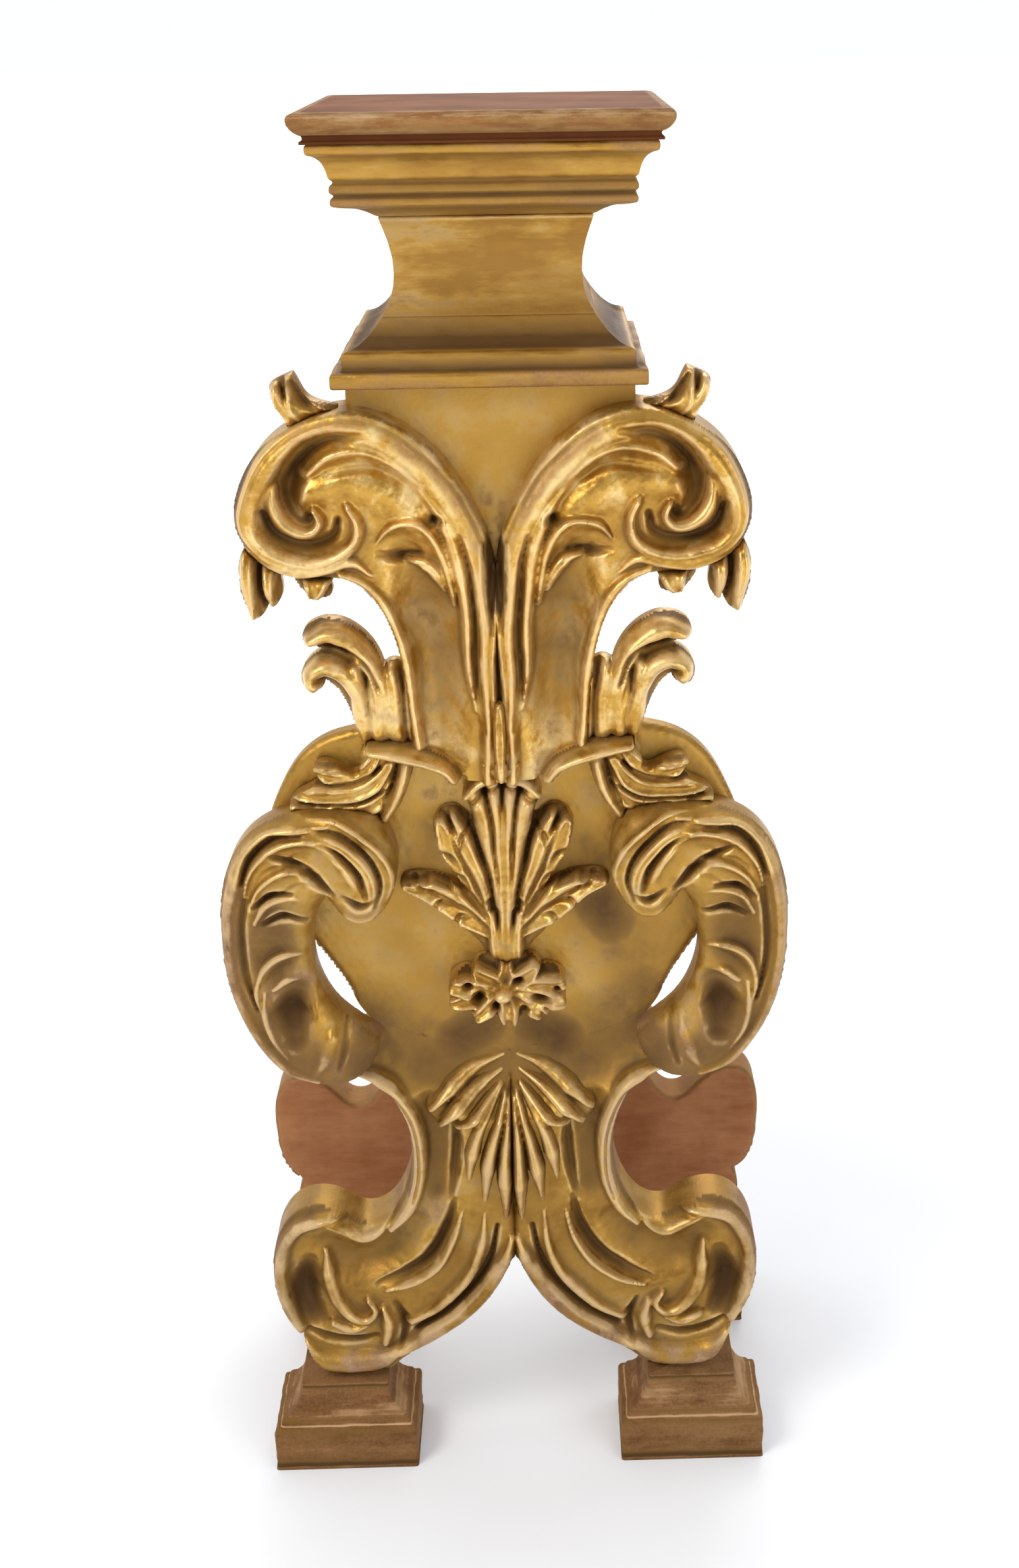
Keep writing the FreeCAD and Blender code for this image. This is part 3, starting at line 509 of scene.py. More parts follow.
ALONG = (0.4, 0.4, 1.6)
GILT = gilding("gilt", 0.18, 0.08)
CAPITAL_GILT = gilding("capital_gilt", 0.24, 0.16, bright=0.97, matt=0.26, bole=WARM_BOLE, bare=0.0, streak=ALONG)
NECK_GILT = gilding("neck_gilt", 0.34, 0.2, bright=0.97, matt=0.3, bole=WARM_BOLE, bare=0.3, cloud=0.06,
                    streak=ALONG)
LOWER_GILT = gilding("lower_gilt", 0.3, 0.18, bright=0.95, matt=0.28,
                     bole=((0.11, 0.052, 0.035), (0.31, 0.168, 0.108)))
FOOT_GILT = gilding("foot_gilt", 1.0, 0.2, bright=0.75, matt=0.4, bole=((0.11, 0.042, 0.017), (0.36, 0.165, 0.082)),
                    bare=0.9, pale=(0.6, 0.39, 0.2), crest_start=0.56, streak=ALONG)
VOLUTE_GILT = gilding("volute_gilt", 0.12, 0.06, bright=1.06, bole=((0.15, 0.06, 0.016), (0.37, 0.185, 0.052)),
                      light=(0.76, 0.57, 0.26))
PANEL_GILT = gilding("panel_gilt", 0.08, 0.16, bright=0.95, cloud=0.19)
SIDE_GILT = gilding("side_gilt", 0.3, 0.3, bright=0.8, matt=0.4)
TOP_PAINT = painted("top_paint", (0.12, 0.036, 0.011), (0.28, 0.105, 0.036))
RED_PAINT = painted("red_paint", (0.28, 0.105, 0.044), (0.45, 0.21, 0.095))
BACK_WOOD = timber("back_wood", (0.09, 0.05, 0.028), (0.2, 0.12, 0.07))
BARE_WOOD = timber("bare_wood", (0.3, 0.19, 0.1), (0.45, 0.31, 0.18))
IRON = timber("iron", (0.03, 0.028, 0.026), (0.07, 0.065, 0.06))


def dress(piece, nodes, material):
    """Puts a piece on the frame in place of its CAD nodes."""
    piece.data.materials.append(material)
    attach(piece, "root")
    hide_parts(*nodes)


# Capital and feet, in millimetres
TOP, TOP_UNDER, NECK_TOP, NECK_FOOT, PLINTH_FOOT = 1250, 1226, 1166, 1086, 1034
# The top of the recess under the slab's nose, and how dark its painted shade is
RECESS_TOP, RECESS_SHADE = 1233, -1.1
ROUNDING, JOINT_ROUNDING, PROFILE_STEP = 3.0, 0.05, 1.3
MOULDING_COLUMNS, MITRE_FADE = 52, 12
MOULDING_WAVES, FOOT_WAVES = (70, 16), (26, 9)
CORNER_POINTS, CORNERS = 5, ((1, -1, -90), (1, 1, 0), (-1, 1, 90), (-1, -1, 180))
SIDES = ["front", "right", "rear", "left"]
FOOT_X, FOOT_Y = 165, 104


def softened(corners):
    """Evenly spaced points on a closed line with rounded corners, which stay sharp at the foot of the neck."""
    corners = np.array(corners, float)
    line = []
    for before, here, after in zip(np.roll(corners, 1, 0), corners, np.roll(corners, -1, 0)):
        back, on = before - here, after - here
        radius = JOINT_ROUNDING if here[1] == NECK_FOOT else ROUNDING
        reach = min(radius, 0.45 * np.hypot(*back), 0.45 * np.hypot(*on))
        a, b = here + back / np.hypot(*back) * reach, here + on / np.hypot(*on) * reach
        line += [(1 - t) ** 2 * a + 2 * t * (1 - t) * here + t ** 2 * b for t in np.linspace(0, 1, 5)]
    return evenly(np.array(line + line[:1]), PROFILE_STEP, closed=True)


def proudness(points, reach):
    """How far each point of a closed line stands out of the line around it, positive on an outer corner."""
    kernel = np.exp(-0.5 * (np.arange(-3 * reach, 3 * reach + 1) / reach) ** 2)
    kernel /= kernel.sum()
    wrapped = np.concatenate([points[-3 * reach:], points, points[:3 * reach]])
    mean = np.stack([np.convolve(wrapped[:, k], kernel, "valid") for k in range(2)], -1)
    ahead = np.roll(points, -1, 0) - np.roll(points, 1, 0)
    outward = np.stack([ahead[:, 1], -ahead[:, 0]], -1)
    outward /= np.maximum(np.hypot(*outward.T), 1e-9)[:, None]
    return np.sum((points - mean) * outward, -1) * np.sign(signed_area(points))


def tube_faces(rows, around, reverse):
    """Faces of a tube through rings of points, with a cap at each end."""
    index = np.arange(rows * around).reshape(rows, around)
    a, b = index[:-1], index[1:]
    quads = np.stack([a, b, np.roll(b, -1, 1), np.roll(a, -1, 1)], -1).reshape(-1, 4)
    faces = quads.tolist() + [index[0].tolist(), index[-1].tolist()[::-1]]
    return [face[::-1] for face in faces] if reverse else faces


def mitred_side(profile, seed, age_and_shade):
    """One side of a square moulding, cut at 45 degrees at both ends."""
    share = np.linspace(-1, 1, MOULDING_COLUMNS)
    out, level = profile.T
    x = share[:, None] * out
    y = np.broadcast_to(-out, x.shape)
    z = np.broadcast_to(level, x.shape)
    fade = np.clip((1 - np.abs(share)) * MITRE_FADE, 0, 1)[:, None]
    long, short = MOULDING_WAVES
    uneven = 0.5 * ripple(x, z, seed, long) + 0.25 * ripple(x, z, seed + 1, short)
    joined = np.clip((np.abs(level - NECK_FOOT) - 2) / 8, 0, 1)
    y = y + uneven * fade * joined * (out > out.min() + 1)
    verts = np.stack([x, y, z], -1).reshape(-1, 3)
    faces = tube_faces(*x.shape, signed_area(profile) < 0)
    levels, soil, worn = np.array(age_and_shade).T
    marks = {"fine": proudness(profile, 3) * joined,
             "broad": proudness(profile, 8) * joined - np.interp(level, levels, soil),
             "worn": np.interp(level, levels, worn)}
    return verts, faces, {key: np.tile(values, MOULDING_COLUMNS) for key, values in marks.items()}


def turn(verts, quarter):
    c, s = [(1, 0), (0, 1), (-1, 0), (0, -1)][quarter]
    return np.stack([verts[:, 0] * c - verts[:, 1] * s, verts[:, 0] * s + verts[:, 1] * c, verts[:, 2]], -1)


cornice = [(80, NECK_TOP), (80, TOP_UNDER), (137, TOP_UNDER), (137, 1218), (131, 1216.5), (125.5, 1212),
           (122.5, 1205), (121.3, 1199), (118.2, 1196.6), (118, 1195), (121, 1193), (121.2, 1188), (118, 1186),
           (117.8, 1184.4), (120.8, 1182.6), (120.8, 1177.5), (113, 1175.5), (102, 1174), (94, 1170.5),
           (87, NECK_TOP)]
neck = [(55, NECK_FOOT), (55, NECK_TOP), (87, NECK_TOP), (83.7, 1157), (79.9, 1145), (77.1, 1132), (76.5, 1120),
        (77.4, 1108), (80.7, 1096), (87, NECK_FOOT)]
plinth = [(72, PLINTH_FOOT), (72, NECK_FOOT), (87, NECK_FOOT), (91.5, 1079.5), (98, 1072), (105.5, 1066),
          (111, 1063.5), (115.5, 1062.5), (118.5, 1060.5), (118.5, 1048.5), (120.5, 1047.3), (127, 1046.8),
          (128, 1045), (128, PLINTH_FOOT)]
# How dark and how worn each moulding is, by level: dirt on the beads, painted shade under the top slab and on the
# plinth under the neck; a negative amount lightens
cornice_age_and_shade = [(1166, 3, 0.05), (1174, 7, 0.1), (1178, 9, 0.36), (1192, 9, 0.36), (1198, 0, 0.05), (1213, -4, 0.05),
               (1217, 6, 0.25), (1226, 7, 0.25)]
neck_age_and_shade = [(1086, 4, 0.08), (1100, 1, 0.0), (1155, 0, 0.0), (1166, 3, 0.1)]
plinth_age_and_shade = [(1034, 9, 0.42), (1045, 4, 0.2), (1048, 8, 0.42), (1060, 7, 0.3), (1062, 1, 0.1), (1065, 24, 0.35),
              (1073, 11, 0.2), (1086, 4, 0.08)]
mouldings = (("cornice", cornice, 100, cornice_age_and_shade, CAPITAL_GILT), ("neck", neck, 200, neck_age_and_shade, NECK_GILT),
             ("base_moulding", plinth, 300, plinth_age_and_shade, CAPITAL_GILT))
for name, corners, seed, age_and_shade, material in mouldings:
    profile = softened(corners)
    for quarter, side in enumerate(SIDES):
        verts, faces, marks = mitred_side(profile, seed + 10 * quarter, age_and_shade)
        piece = new_mesh(f"carved_{name}_{side}", turn(verts, quarter), faces, **marks)
        piece.data.set_sharp_from_angle(angle=SHARP)
        dress(piece, [f"{name}_{side}"], material)


def ringed(name, levels, centre, seed, uneven, side_points, soiled_below=0):
    """A closed solid of rounded rectangles, one above the other: (half width, half depth, level, corner, edge)."""
    rings, edges = [], []
    for half_x, half_y, level, corner, edge in levels:
        ring = np.array([(cx * (half_x - corner) + corner * math.cos(angle),
                          cy * (half_y - corner) + corner * math.sin(angle)) for cx, cy, start in CORNERS
                         for angle in np.radians(np.linspace(start, start + 90, CORNER_POINTS))])
        line = []
        for k, (a, b) in enumerate(zip(ring, np.roll(ring, -1, 0))):
            steps = side_points if k % CORNER_POINTS == CORNER_POINTS - 1 else 1
            line += [a + (b - a) * t for t in np.linspace(0, 1, steps, endpoint=False)]
        rings.append([(x + centre[0], y + centre[1], level) for x, y in line])
        edges += [edge] * len(line)
    rings = np.array(rings)
    count, around = rings.shape[:2]
    verts = rings.reshape(-1, 3)
    away = verts[:, :2] - centre
    away /= np.maximum(np.hypot(*away.T), 1e-6)[:, None]
    x, y, z = verts.T
    long, short = FOOT_WAVES
    push = uneven * (ripple(x + y, z, seed, long) + 0.5 * ripple(x - y, z, seed + 1, short))
    push = np.minimum(push - uneven * 1.2, 0)
    inner = np.repeat((np.arange(count) > 0) & (np.arange(count) < count - 1), around)
    verts[:, :2] += away * (push * inner)[:, None]
    section = np.array([(half_x, level) for half_x, _, level, _, _ in levels])
    top_level, foot_level = section[-1, 1], section[0, 1]
    proud = proudness(np.vstack([section, [(0, top_level), (0, foot_level)]]), 2)[:count]
    # The feet, whose rings go upwards, are pale in their hollows
    upwards = foot_level < top_level
    if upwards:
        proud = -proud
    proud[[0, 1, -2, -1]] = 0
    # Painted shade in the recess under the slab's nose
    proud[section[:, 1] < soiled_below] = RECESS_SHADE
    fine = np.repeat(proud, around)
    return new_mesh(name, verts, tube_faces(count, around, upwards), fine=fine, broad=fine, edge=edges)


def stepped(corners, step):
    """Points along straight runs between corners, no further apart than a step."""
    points = []
    for a, b in zip(corners, corners[1:]):
        count = max(1, int(math.ceil(math.dist(a, b) / step)))
        points += [tuple(np.array(a) + (np.array(b) - np.array(a)) * t) for t in np.arange(count) / count]
    return points + [corners[-1]]


nose = [(142, TOP), (145, 1249.4), (147.4, 1248.2), (148.7, 1246.4), (149, 1244), (148.4, 1241), (146.6, 1238),
        (144, 1235.2), (141, 1233.2), (138.5, 1232.2), (138, 1230.5), (138.4, 1228.8), (140.5, 1228),
        (140.5, TOP_UNDER)]
levels = [(half, half, TOP, 2, 142 - half) for half in np.arange(4, 141, 8)]
levels += [(half, half, level, 2.5, 12 if level < RECESS_TOP else 0) for half, level in stepped(nose, 1.5)]
top = ringed("top_slab", levels, (0, 0), 400, 0.0, 40, soiled_below=RECESS_TOP)
dress(top, ["top_board"], TOP_PAINT)

foot_profile = [(68, 45, 0), (68, 45, 40.5), (67.2, 44.2, 43), (65, 42, 44.2), (62.5, 39.5, 44.6), (62, 39, 48),
                (61, 38, 50.5), (56, 35.8, 53), (51.5, 33.8, 57), (47.4, 32.2, 62.5), (44.4, 31, 69),
                (42.4, 30.3, 76), (41.4, 30, 81), (41, 30, 86)]
levels = [(w, d, z, 3.0, 0) for w, d, z in stepped(foot_profile, 2.5)]
for place, y in (("front", -FOOT_Y), ("rear", FOOT_Y)):
    for side, x in (("left", -FOOT_X), ("right", FOOT_X)):
        foot = ringed(f"moulded_foot_{place}_{side}", levels, (x, y), 500 + x + y, 0.5, 28)
        dress(foot, [f"foot_{place}_{side}"], FOOT_GILT)


# Carved boards, drawn for the left side
def draw_volute(r):
    rim = [(-12, 694), (-12, 756), (-13, 816), (-15, 870), (-21, 904), (-34, 932), (-52, 959), (-79, 985),
           (-116, 999), (-150, 991), (-177, 972), (-193, 946), (-197, 924), (-189, 908), (-174, 899),
           (-152, 894), (-131, 898), (-117, 909), (-114, 925), (-120, 938)]
    r.groove([(-72, 892), (-60, 850), (-52, 800), (-49, 750), (-48, 718)],
             [44, 76, 78, 72, 54], [8, 25, 27, 21, 9])
    r.stroke([(-150, 950), (-120, 955), (-90, 948), (-66, 930)], [40, 66, 64, 40], 130, 9, soft_top)
    r.stroke([(-128, 880), (-108, 871), (-93, 850), (-83, 818), (-77, 784), (-74, 750), (-70, 724)],
             [8, 14, 15, 15, 13, 12], 130, 14)
    r.stroke(rim, [18, 20, 24, 36, 44, 46, 46, 44, 32, 24, 20, 10],
             [134, 137, 140, 141, 141, 141, 141, 140, 138, 137], 28, cavetto)
    r.groove([(-104, 999), (-134, 993), (-153, 980), (-164, 961), (-166, 943), (-158, 928)],
             [8, 22, 30, 32, 28, 12], [3, 15, 22, 24, 18, 5])
    r.stroke([(-177, 966), (-180, 946), (-174, 929), (-162, 919), (-149, 918), (-142, 927), (-146, 937)],
             [6, 13, 15, 15, 13, 11, 6], [128, 132, 135, 137, 138, 138, 136], 18)
    r.groove([(-190, 936), (-182, 917), (-167, 908), (-148, 906), (-132, 913), (-128, 927)],
             [6, 11, 13, 13, 12, 6], 9)
    r.pit(-151, 928, 7, 9)
    r.stroke([(-58, 954), (-80, 975), (-106, 985), (-132, 981), (-150, 966)],
             [5, 13, 17, 19, 9], [134, 136, 137, 137, 134], 10, soft_top)
    r.groove([(-140, 962), (-116, 968), (-92, 967), (-72, 956)], [4, 10, 10, 5], [1, 5, 5, 2])
    r.stroke([(-60, 952), (-45, 933), (-34, 908), (-28, 880), (-25, 846), (-24, 800), (-20, 756)],
             [5, 15, 15, 13, 11, 9, 4], [132, 138, 138, 136, 133, 129, 124], 18)
    r.stroke([(-50, 920), (-43, 900), (-38, 876), (-35, 850)], [4, 10, 10, 4], [130, 134, 132, 126], 12)
    r.groove([(-28, 914), (-21, 885), (-18, 840), (-17, 790), (-13, 740)], [4, 9, 10, 9, 4], [6, 10, 10, 8, 4])
    r.groove([(-1, 935), (-3, 905), (-4, 870), (-3, 830)], [5, 15, 13, 5], [6, 18, 14, 4])
    r.pit(-47, 925, 7, 12)
    r.stroke([(-98, 903), (-85, 915), (-68, 918), (-55, 909), (-46, 892), (-38, 868)],
             [3, 17, 21, 17, 12, 4], [126, 135, 139, 138, 134, 126], 16, fold_left)
    r.groove([(-97, 897), (-79, 894), (-60, 897)], [6, 15, 6], [3, 10, 4])
    r.stroke([(-72, 892), (-59, 890), (-49, 880), (-43, 862)], [4, 12, 11, 4], [126, 133, 132, 124], 12, veined)
    r.stroke([(-204, 902), (-186, 891), (-163, 884), (-140, 886), (-118, 890), (-102, 878)],
             [4, 10, 12, 11, 9, 4], [130, 135, 137, 136, 133, 128], 14, veined)
    r.stain([(-84, 998), (-52, 978), (-28, 944), (-12, 904), (-7, 850), (-6, 780), (-6, 710)],
            20, soil=4, worn=0.32)
    r.stain([(-104, 1010), (-150, 1003), (-188, 978), (-206, 945), (-208, 920)], 18, soil=4, worn=0.4)
    # Painted light on the smooth panel and on the bright ridge to its right
    r.stain([(-150, 950), (-115, 955), (-85, 940)], 66, soil=-8)
    r.stain([(-52, 935), (-38, 905), (-30, 870)], 34, soil=-6)
    r.groove([(0, 914), (0, 886), (0, 846)], [4, 13, 4], [3, 15, 3])
    # Painted shade in the gap between the two volutes
    r.stain([(0, 908), (0, 852)], 16, soil=14)
    # Painted shade down the hollow of the waist
    r.stain([(-56, 860), (-44, 800), (-42, 750)], 56, soil=2)
    # Painted light on the rib beside the hollow
    r.stain([(-84, 850), (-72, 800), (-70, 750)], 14, soil=-5)


def draw_tip_leaf(r):
    r.stroke([(-116, 1008), (-138, 1010), (-152, 1020), (-161, 1044)],
             [10, 22, 24, 8], [126, 129, 131, 130], 18, cup)
    r.stroke([(-150, 1002), (-165, 1014), (-172, 1026), (-174, 1038)],
             [12, 17, 15, 7], [127, 130, 131, 130], 16, veined)
    r.groove([(-128, 1013), (-148, 1023), (-160, 1042)], [4, 10, 5], [4, 14, 8])


def draw_husk(r):
    r.stroke([(-202, 909), (-206, 881), (-202, 844)], [13, 15, 8], [132, 135, 132], 18, veined)
    r.stroke([(-187, 895), (-188, 871), (-185, 853)], [13, 14, 7], [131, 133, 130], 18, veined)
    r.groove([(-194, 904), (-196, 876), (-192, 852)], [4, 8, 5], 9)


def draw_droplet(r):
    r.stroke([(-152, 892), (-148, 876), (-152, 858)], [22, 24, 10], [130, 135, 131], 18, cup)


def draw_curl(r):
    for x, crest in ((-72, 124), (-87, 128), (-102, 130), (-116, 129)):
        r.stroke([(x * 0.99, 718), (x - 1, 750), (x - 3, 780), (x - 4, 796)], [13, 15, 15, 9], crest, 12)
    r.stroke([(-92, 734), (-98, 774), (-107, 800), (-122, 820), (-141, 828), (-157, 823)],
             [10, 14, 19, 21, 21, 14], [126, 130, 132, 134, 134, 132], 20)
    r.stroke([(-110, 742), (-119, 772), (-130, 792), (-146, 800), (-159, 793), (-156, 782)],
             [9, 14, 17, 19, 18, 11], [126, 130, 132, 133, 134, 133], 20)
    r.groove([(-102, 780), (-113, 803), (-131, 814), (-152, 815)], [5, 9, 10, 5], [8, 14, 14, 6])
    r.groove([(-105, 760), (-110, 786), (-121, 806), (-140, 820)], [3, 5, 6, 3], 4)
    r.stroke([(-160, 792), (-158, 785), (-154, 784)], [8, 13, 8], 134, 12)


def draw_clasp(r):
    r.stroke([(-114, 725), (-92, 723), (-68, 717), (-49, 708), (-40, 697)],
             [12, 15, 17, 15, 11], [138, 142, 143, 143, 141], 26)
    r.groove([(-112, 728), (-92, 727), (-68, 721), (-50, 712)], [3, 5, 5, 3], 3)


def draw_shoulder_leaf(r):
    r.stroke([(-80, 712), (-84, 692), (-92, 672), (-102, 656)], [9, 12, 12, 8], [121, 123, 122, 120], 14)
    r.stroke([(-106, 718), (-120, 700), (-138, 695), (-160, 702)],
             [8, 17, 19, 8], [118, 123, 125, 124], 16, cup)
    r.stroke([(-96, 706), (-114, 686), (-142, 680), (-178, 682)], [8, 19, 21, 8], [119, 123, 125, 124], 16, cup)
    r.stroke([(-94, 686), (-114, 667), (-146, 662), (-180, 667)], [8, 17, 19, 9], [117, 121, 124, 123], 16, cup)
    r.groove([(-104, 704), (-124, 691), (-146, 689), (-168, 692)], [4, 9, 9, 4], 11)
    r.groove([(-102, 682), (-124, 672), (-148, 671), (-174, 674)], [4, 8, 8, 4], 9)
    r.groove([(-88, 712), (-93, 690), (-103, 668)], [3, 7, 3], 8)


def draw_arm(r):
    outer = [(-150, 660), (-190, 656), (-217, 640), (-233, 613), (-241, 584), (-243, 552), (-241, 517),
             (-233, 481), (-218, 449), (-198, 424), (-172, 412)]
    r.groove([(-204, 566), (-204, 536)], [60, 70, 60], 7)
    r.stroke(outer, [8, 14, 16, 16, 16, 16, 16, 16, 16, 14, 10],
             [143, 147, 148, 148, 147, 146, 146, 146, 145, 143], 16)
    r.groove([(-184, 648), (-207, 634), (-221, 610), (-228, 580), (-230, 552), (-228, 518), (-220, 486)],
             [4, 8, 9, 9, 9, 8, 4], 7)
    r.stroke([(-140, 622), (-164, 638), (-190, 637), (-211, 621), (-223, 597)],
             [14, 30, 31, 24, 8], [139, 146, 148, 147, 142], 20, fold_right)
    r.stroke([(-150, 598), (-170, 612), (-191, 611), (-209, 600), (-219, 584)],
             [10, 21, 23, 18, 7], [137, 144, 147, 146, 141], 18, fold_right)
    r.stroke([(-164, 580), (-184, 589), (-203, 585), (-216, 570)],
             [8, 17, 18, 8], [135, 142, 145, 142], 16, fold_right)
    r.groove([(-228, 608), (-216, 633), (-199, 647), (-174, 652)], [5, 13, 15, 6], [6, 16, 17, 6])
    r.groove([(-200, 634), (-181, 625), (-165, 613), (-150, 595)], [5, 12, 15, 8], [5, 14, 17, 8])
    r.groove([(-219, 585), (-203, 595), (-184, 597)], [5, 12, 6], [5, 14, 5])
    r.groove([(-212, 567), (-191, 575), (-172, 571)], [5, 11, 5], [4, 11, 4])
    for x, z in ((-178, 634), (-200, 622), (-180, 606), (-202, 598)):
        r.groove([(x + 12, z + 2), (x, z), (x - 12, z - 8)], [2, 4, 2], 3)
    r.stroke([(-166, 529), (-186, 535), (-205, 526), (-215, 505), (-214, 478)],
             [8, 19, 22, 16, 6], [137, 144, 147, 146, 141], 18, fold_right)
    r.stroke([(-205, 507), (-191, 515), (-176, 514)], [5, 11, 4], [144, 144, 139], 12)
    r.groove([(-184, 504), (-190, 482), (-188, 456)], [34, 46, 30], [10, 26, 10])
    r.stroke([(-213, 505), (-214, 480), (-208, 456), (-197, 436)], [5, 10, 10, 5], [144, 144, 143, 140], 16)
    r.stroke([(-152, 480), (-156, 456), (-163, 435), (-174, 417)], [8, 20, 22, 12], [137, 144, 144, 140], 20)
    r.stroke([(-132, 462), (-134, 444), (-142, 424)], [8, 16, 10], [132, 138, 136], 18, veined)
    r.groove([(-144, 470), (-146, 446), (-152, 424)], [4, 9, 4], 4)
    r.stroke([(-160, 641), (-142, 626), (-131, 607), (-129, 588)], [5, 11, 13, 6], [138, 143, 143, 138], 14)
    r.stroke([(-170, 653), (-142, 642), (-121, 621), (-114, 598), (-119, 578)],
             [5, 13, 16, 15, 7], [140, 145, 146, 145, 140], 16, veined)
    r.stroke([(-176, 665), (-142, 657), (-113, 635), (-101, 607), (-107, 581)],
             [6, 15, 18, 17, 9], [142, 147, 148, 147, 142], 18, fold_left)
    r.stroke([(-150, 584), (-138, 571), (-121, 568), (-107, 580)], [6, 13, 15, 8], [136, 143, 144, 140], 18)
    r.groove([(-166, 659), (-139, 649), (-117, 628), (-108, 603), (-113, 582)],
             [3, 7, 8, 7, 4], [4, 9, 11, 9, 5])
    r.groove([(-160, 647), (-140, 633), (-126, 614), (-121, 592)], [3, 7, 8, 4], [4, 9, 10, 5])
    r.groove([(-140, 594), (-126, 584), (-114, 588)], [5, 11, 5], [4, 11, 4])
    # Painted shade on the set-back part of the tube under the leaf lobes
    r.stain([(-200, 572), (-204, 552), (-204, 538)], 66, soil=9)
    # Painted shade in the dark hollow, with worn gilding
    r.stain([(-190, 494), (-192, 466), (-184, 440)], 54, soil=6, worn=0.5)
    r.stain([(-206, 470), (-196, 440), (-170, 424), (-140, 430)], 70, soil=3, worn=0.5)
    r.stain([(-238, 600), (-244, 552), (-238, 500), (-222, 456)], 34, soil=5, worn=0.42)
    # Painted highlights on the leaf lobes
    r.stain([(-176, 664), (-150, 656)], 24, soil=-4)
    r.stain([(-206, 618), (-220, 590)], 20, soil=-4)
    r.stain([(-104, 645), (-98, 612)], 18, soil=-4)
    r.stain([(-180, 396), (-140, 404)], 60, soil=2, worn=0.45)
    # Painted shade where the arm's end goes in behind the leg, with worn gilding
    r.stain([(-130, 436), (-116, 424), (-106, 440)], 50, soil=9, worn=0.45)


# The line where the legs leave the cartouche, and how they rise from it further down
JOINT_LEVEL, JOINT_RISE, JOINT_HALF = 416, 40, 122
LEG_START, LEG_CURVE, LEG_REACH = 93.2, 0.0075, 90


def leg_rise(x, z):
    """How the front of the legs rises out of the cartouche below their joint."""
    joint = JOINT_LEVEL + JOINT_RISE * np.clip(np.abs(x) / JOINT_HALF, 0, 1.2) ** 1.6
    below = np.clip(joint - z, 0, LEG_REACH)
    return LEG_START + LEG_CURVE * below ** 2


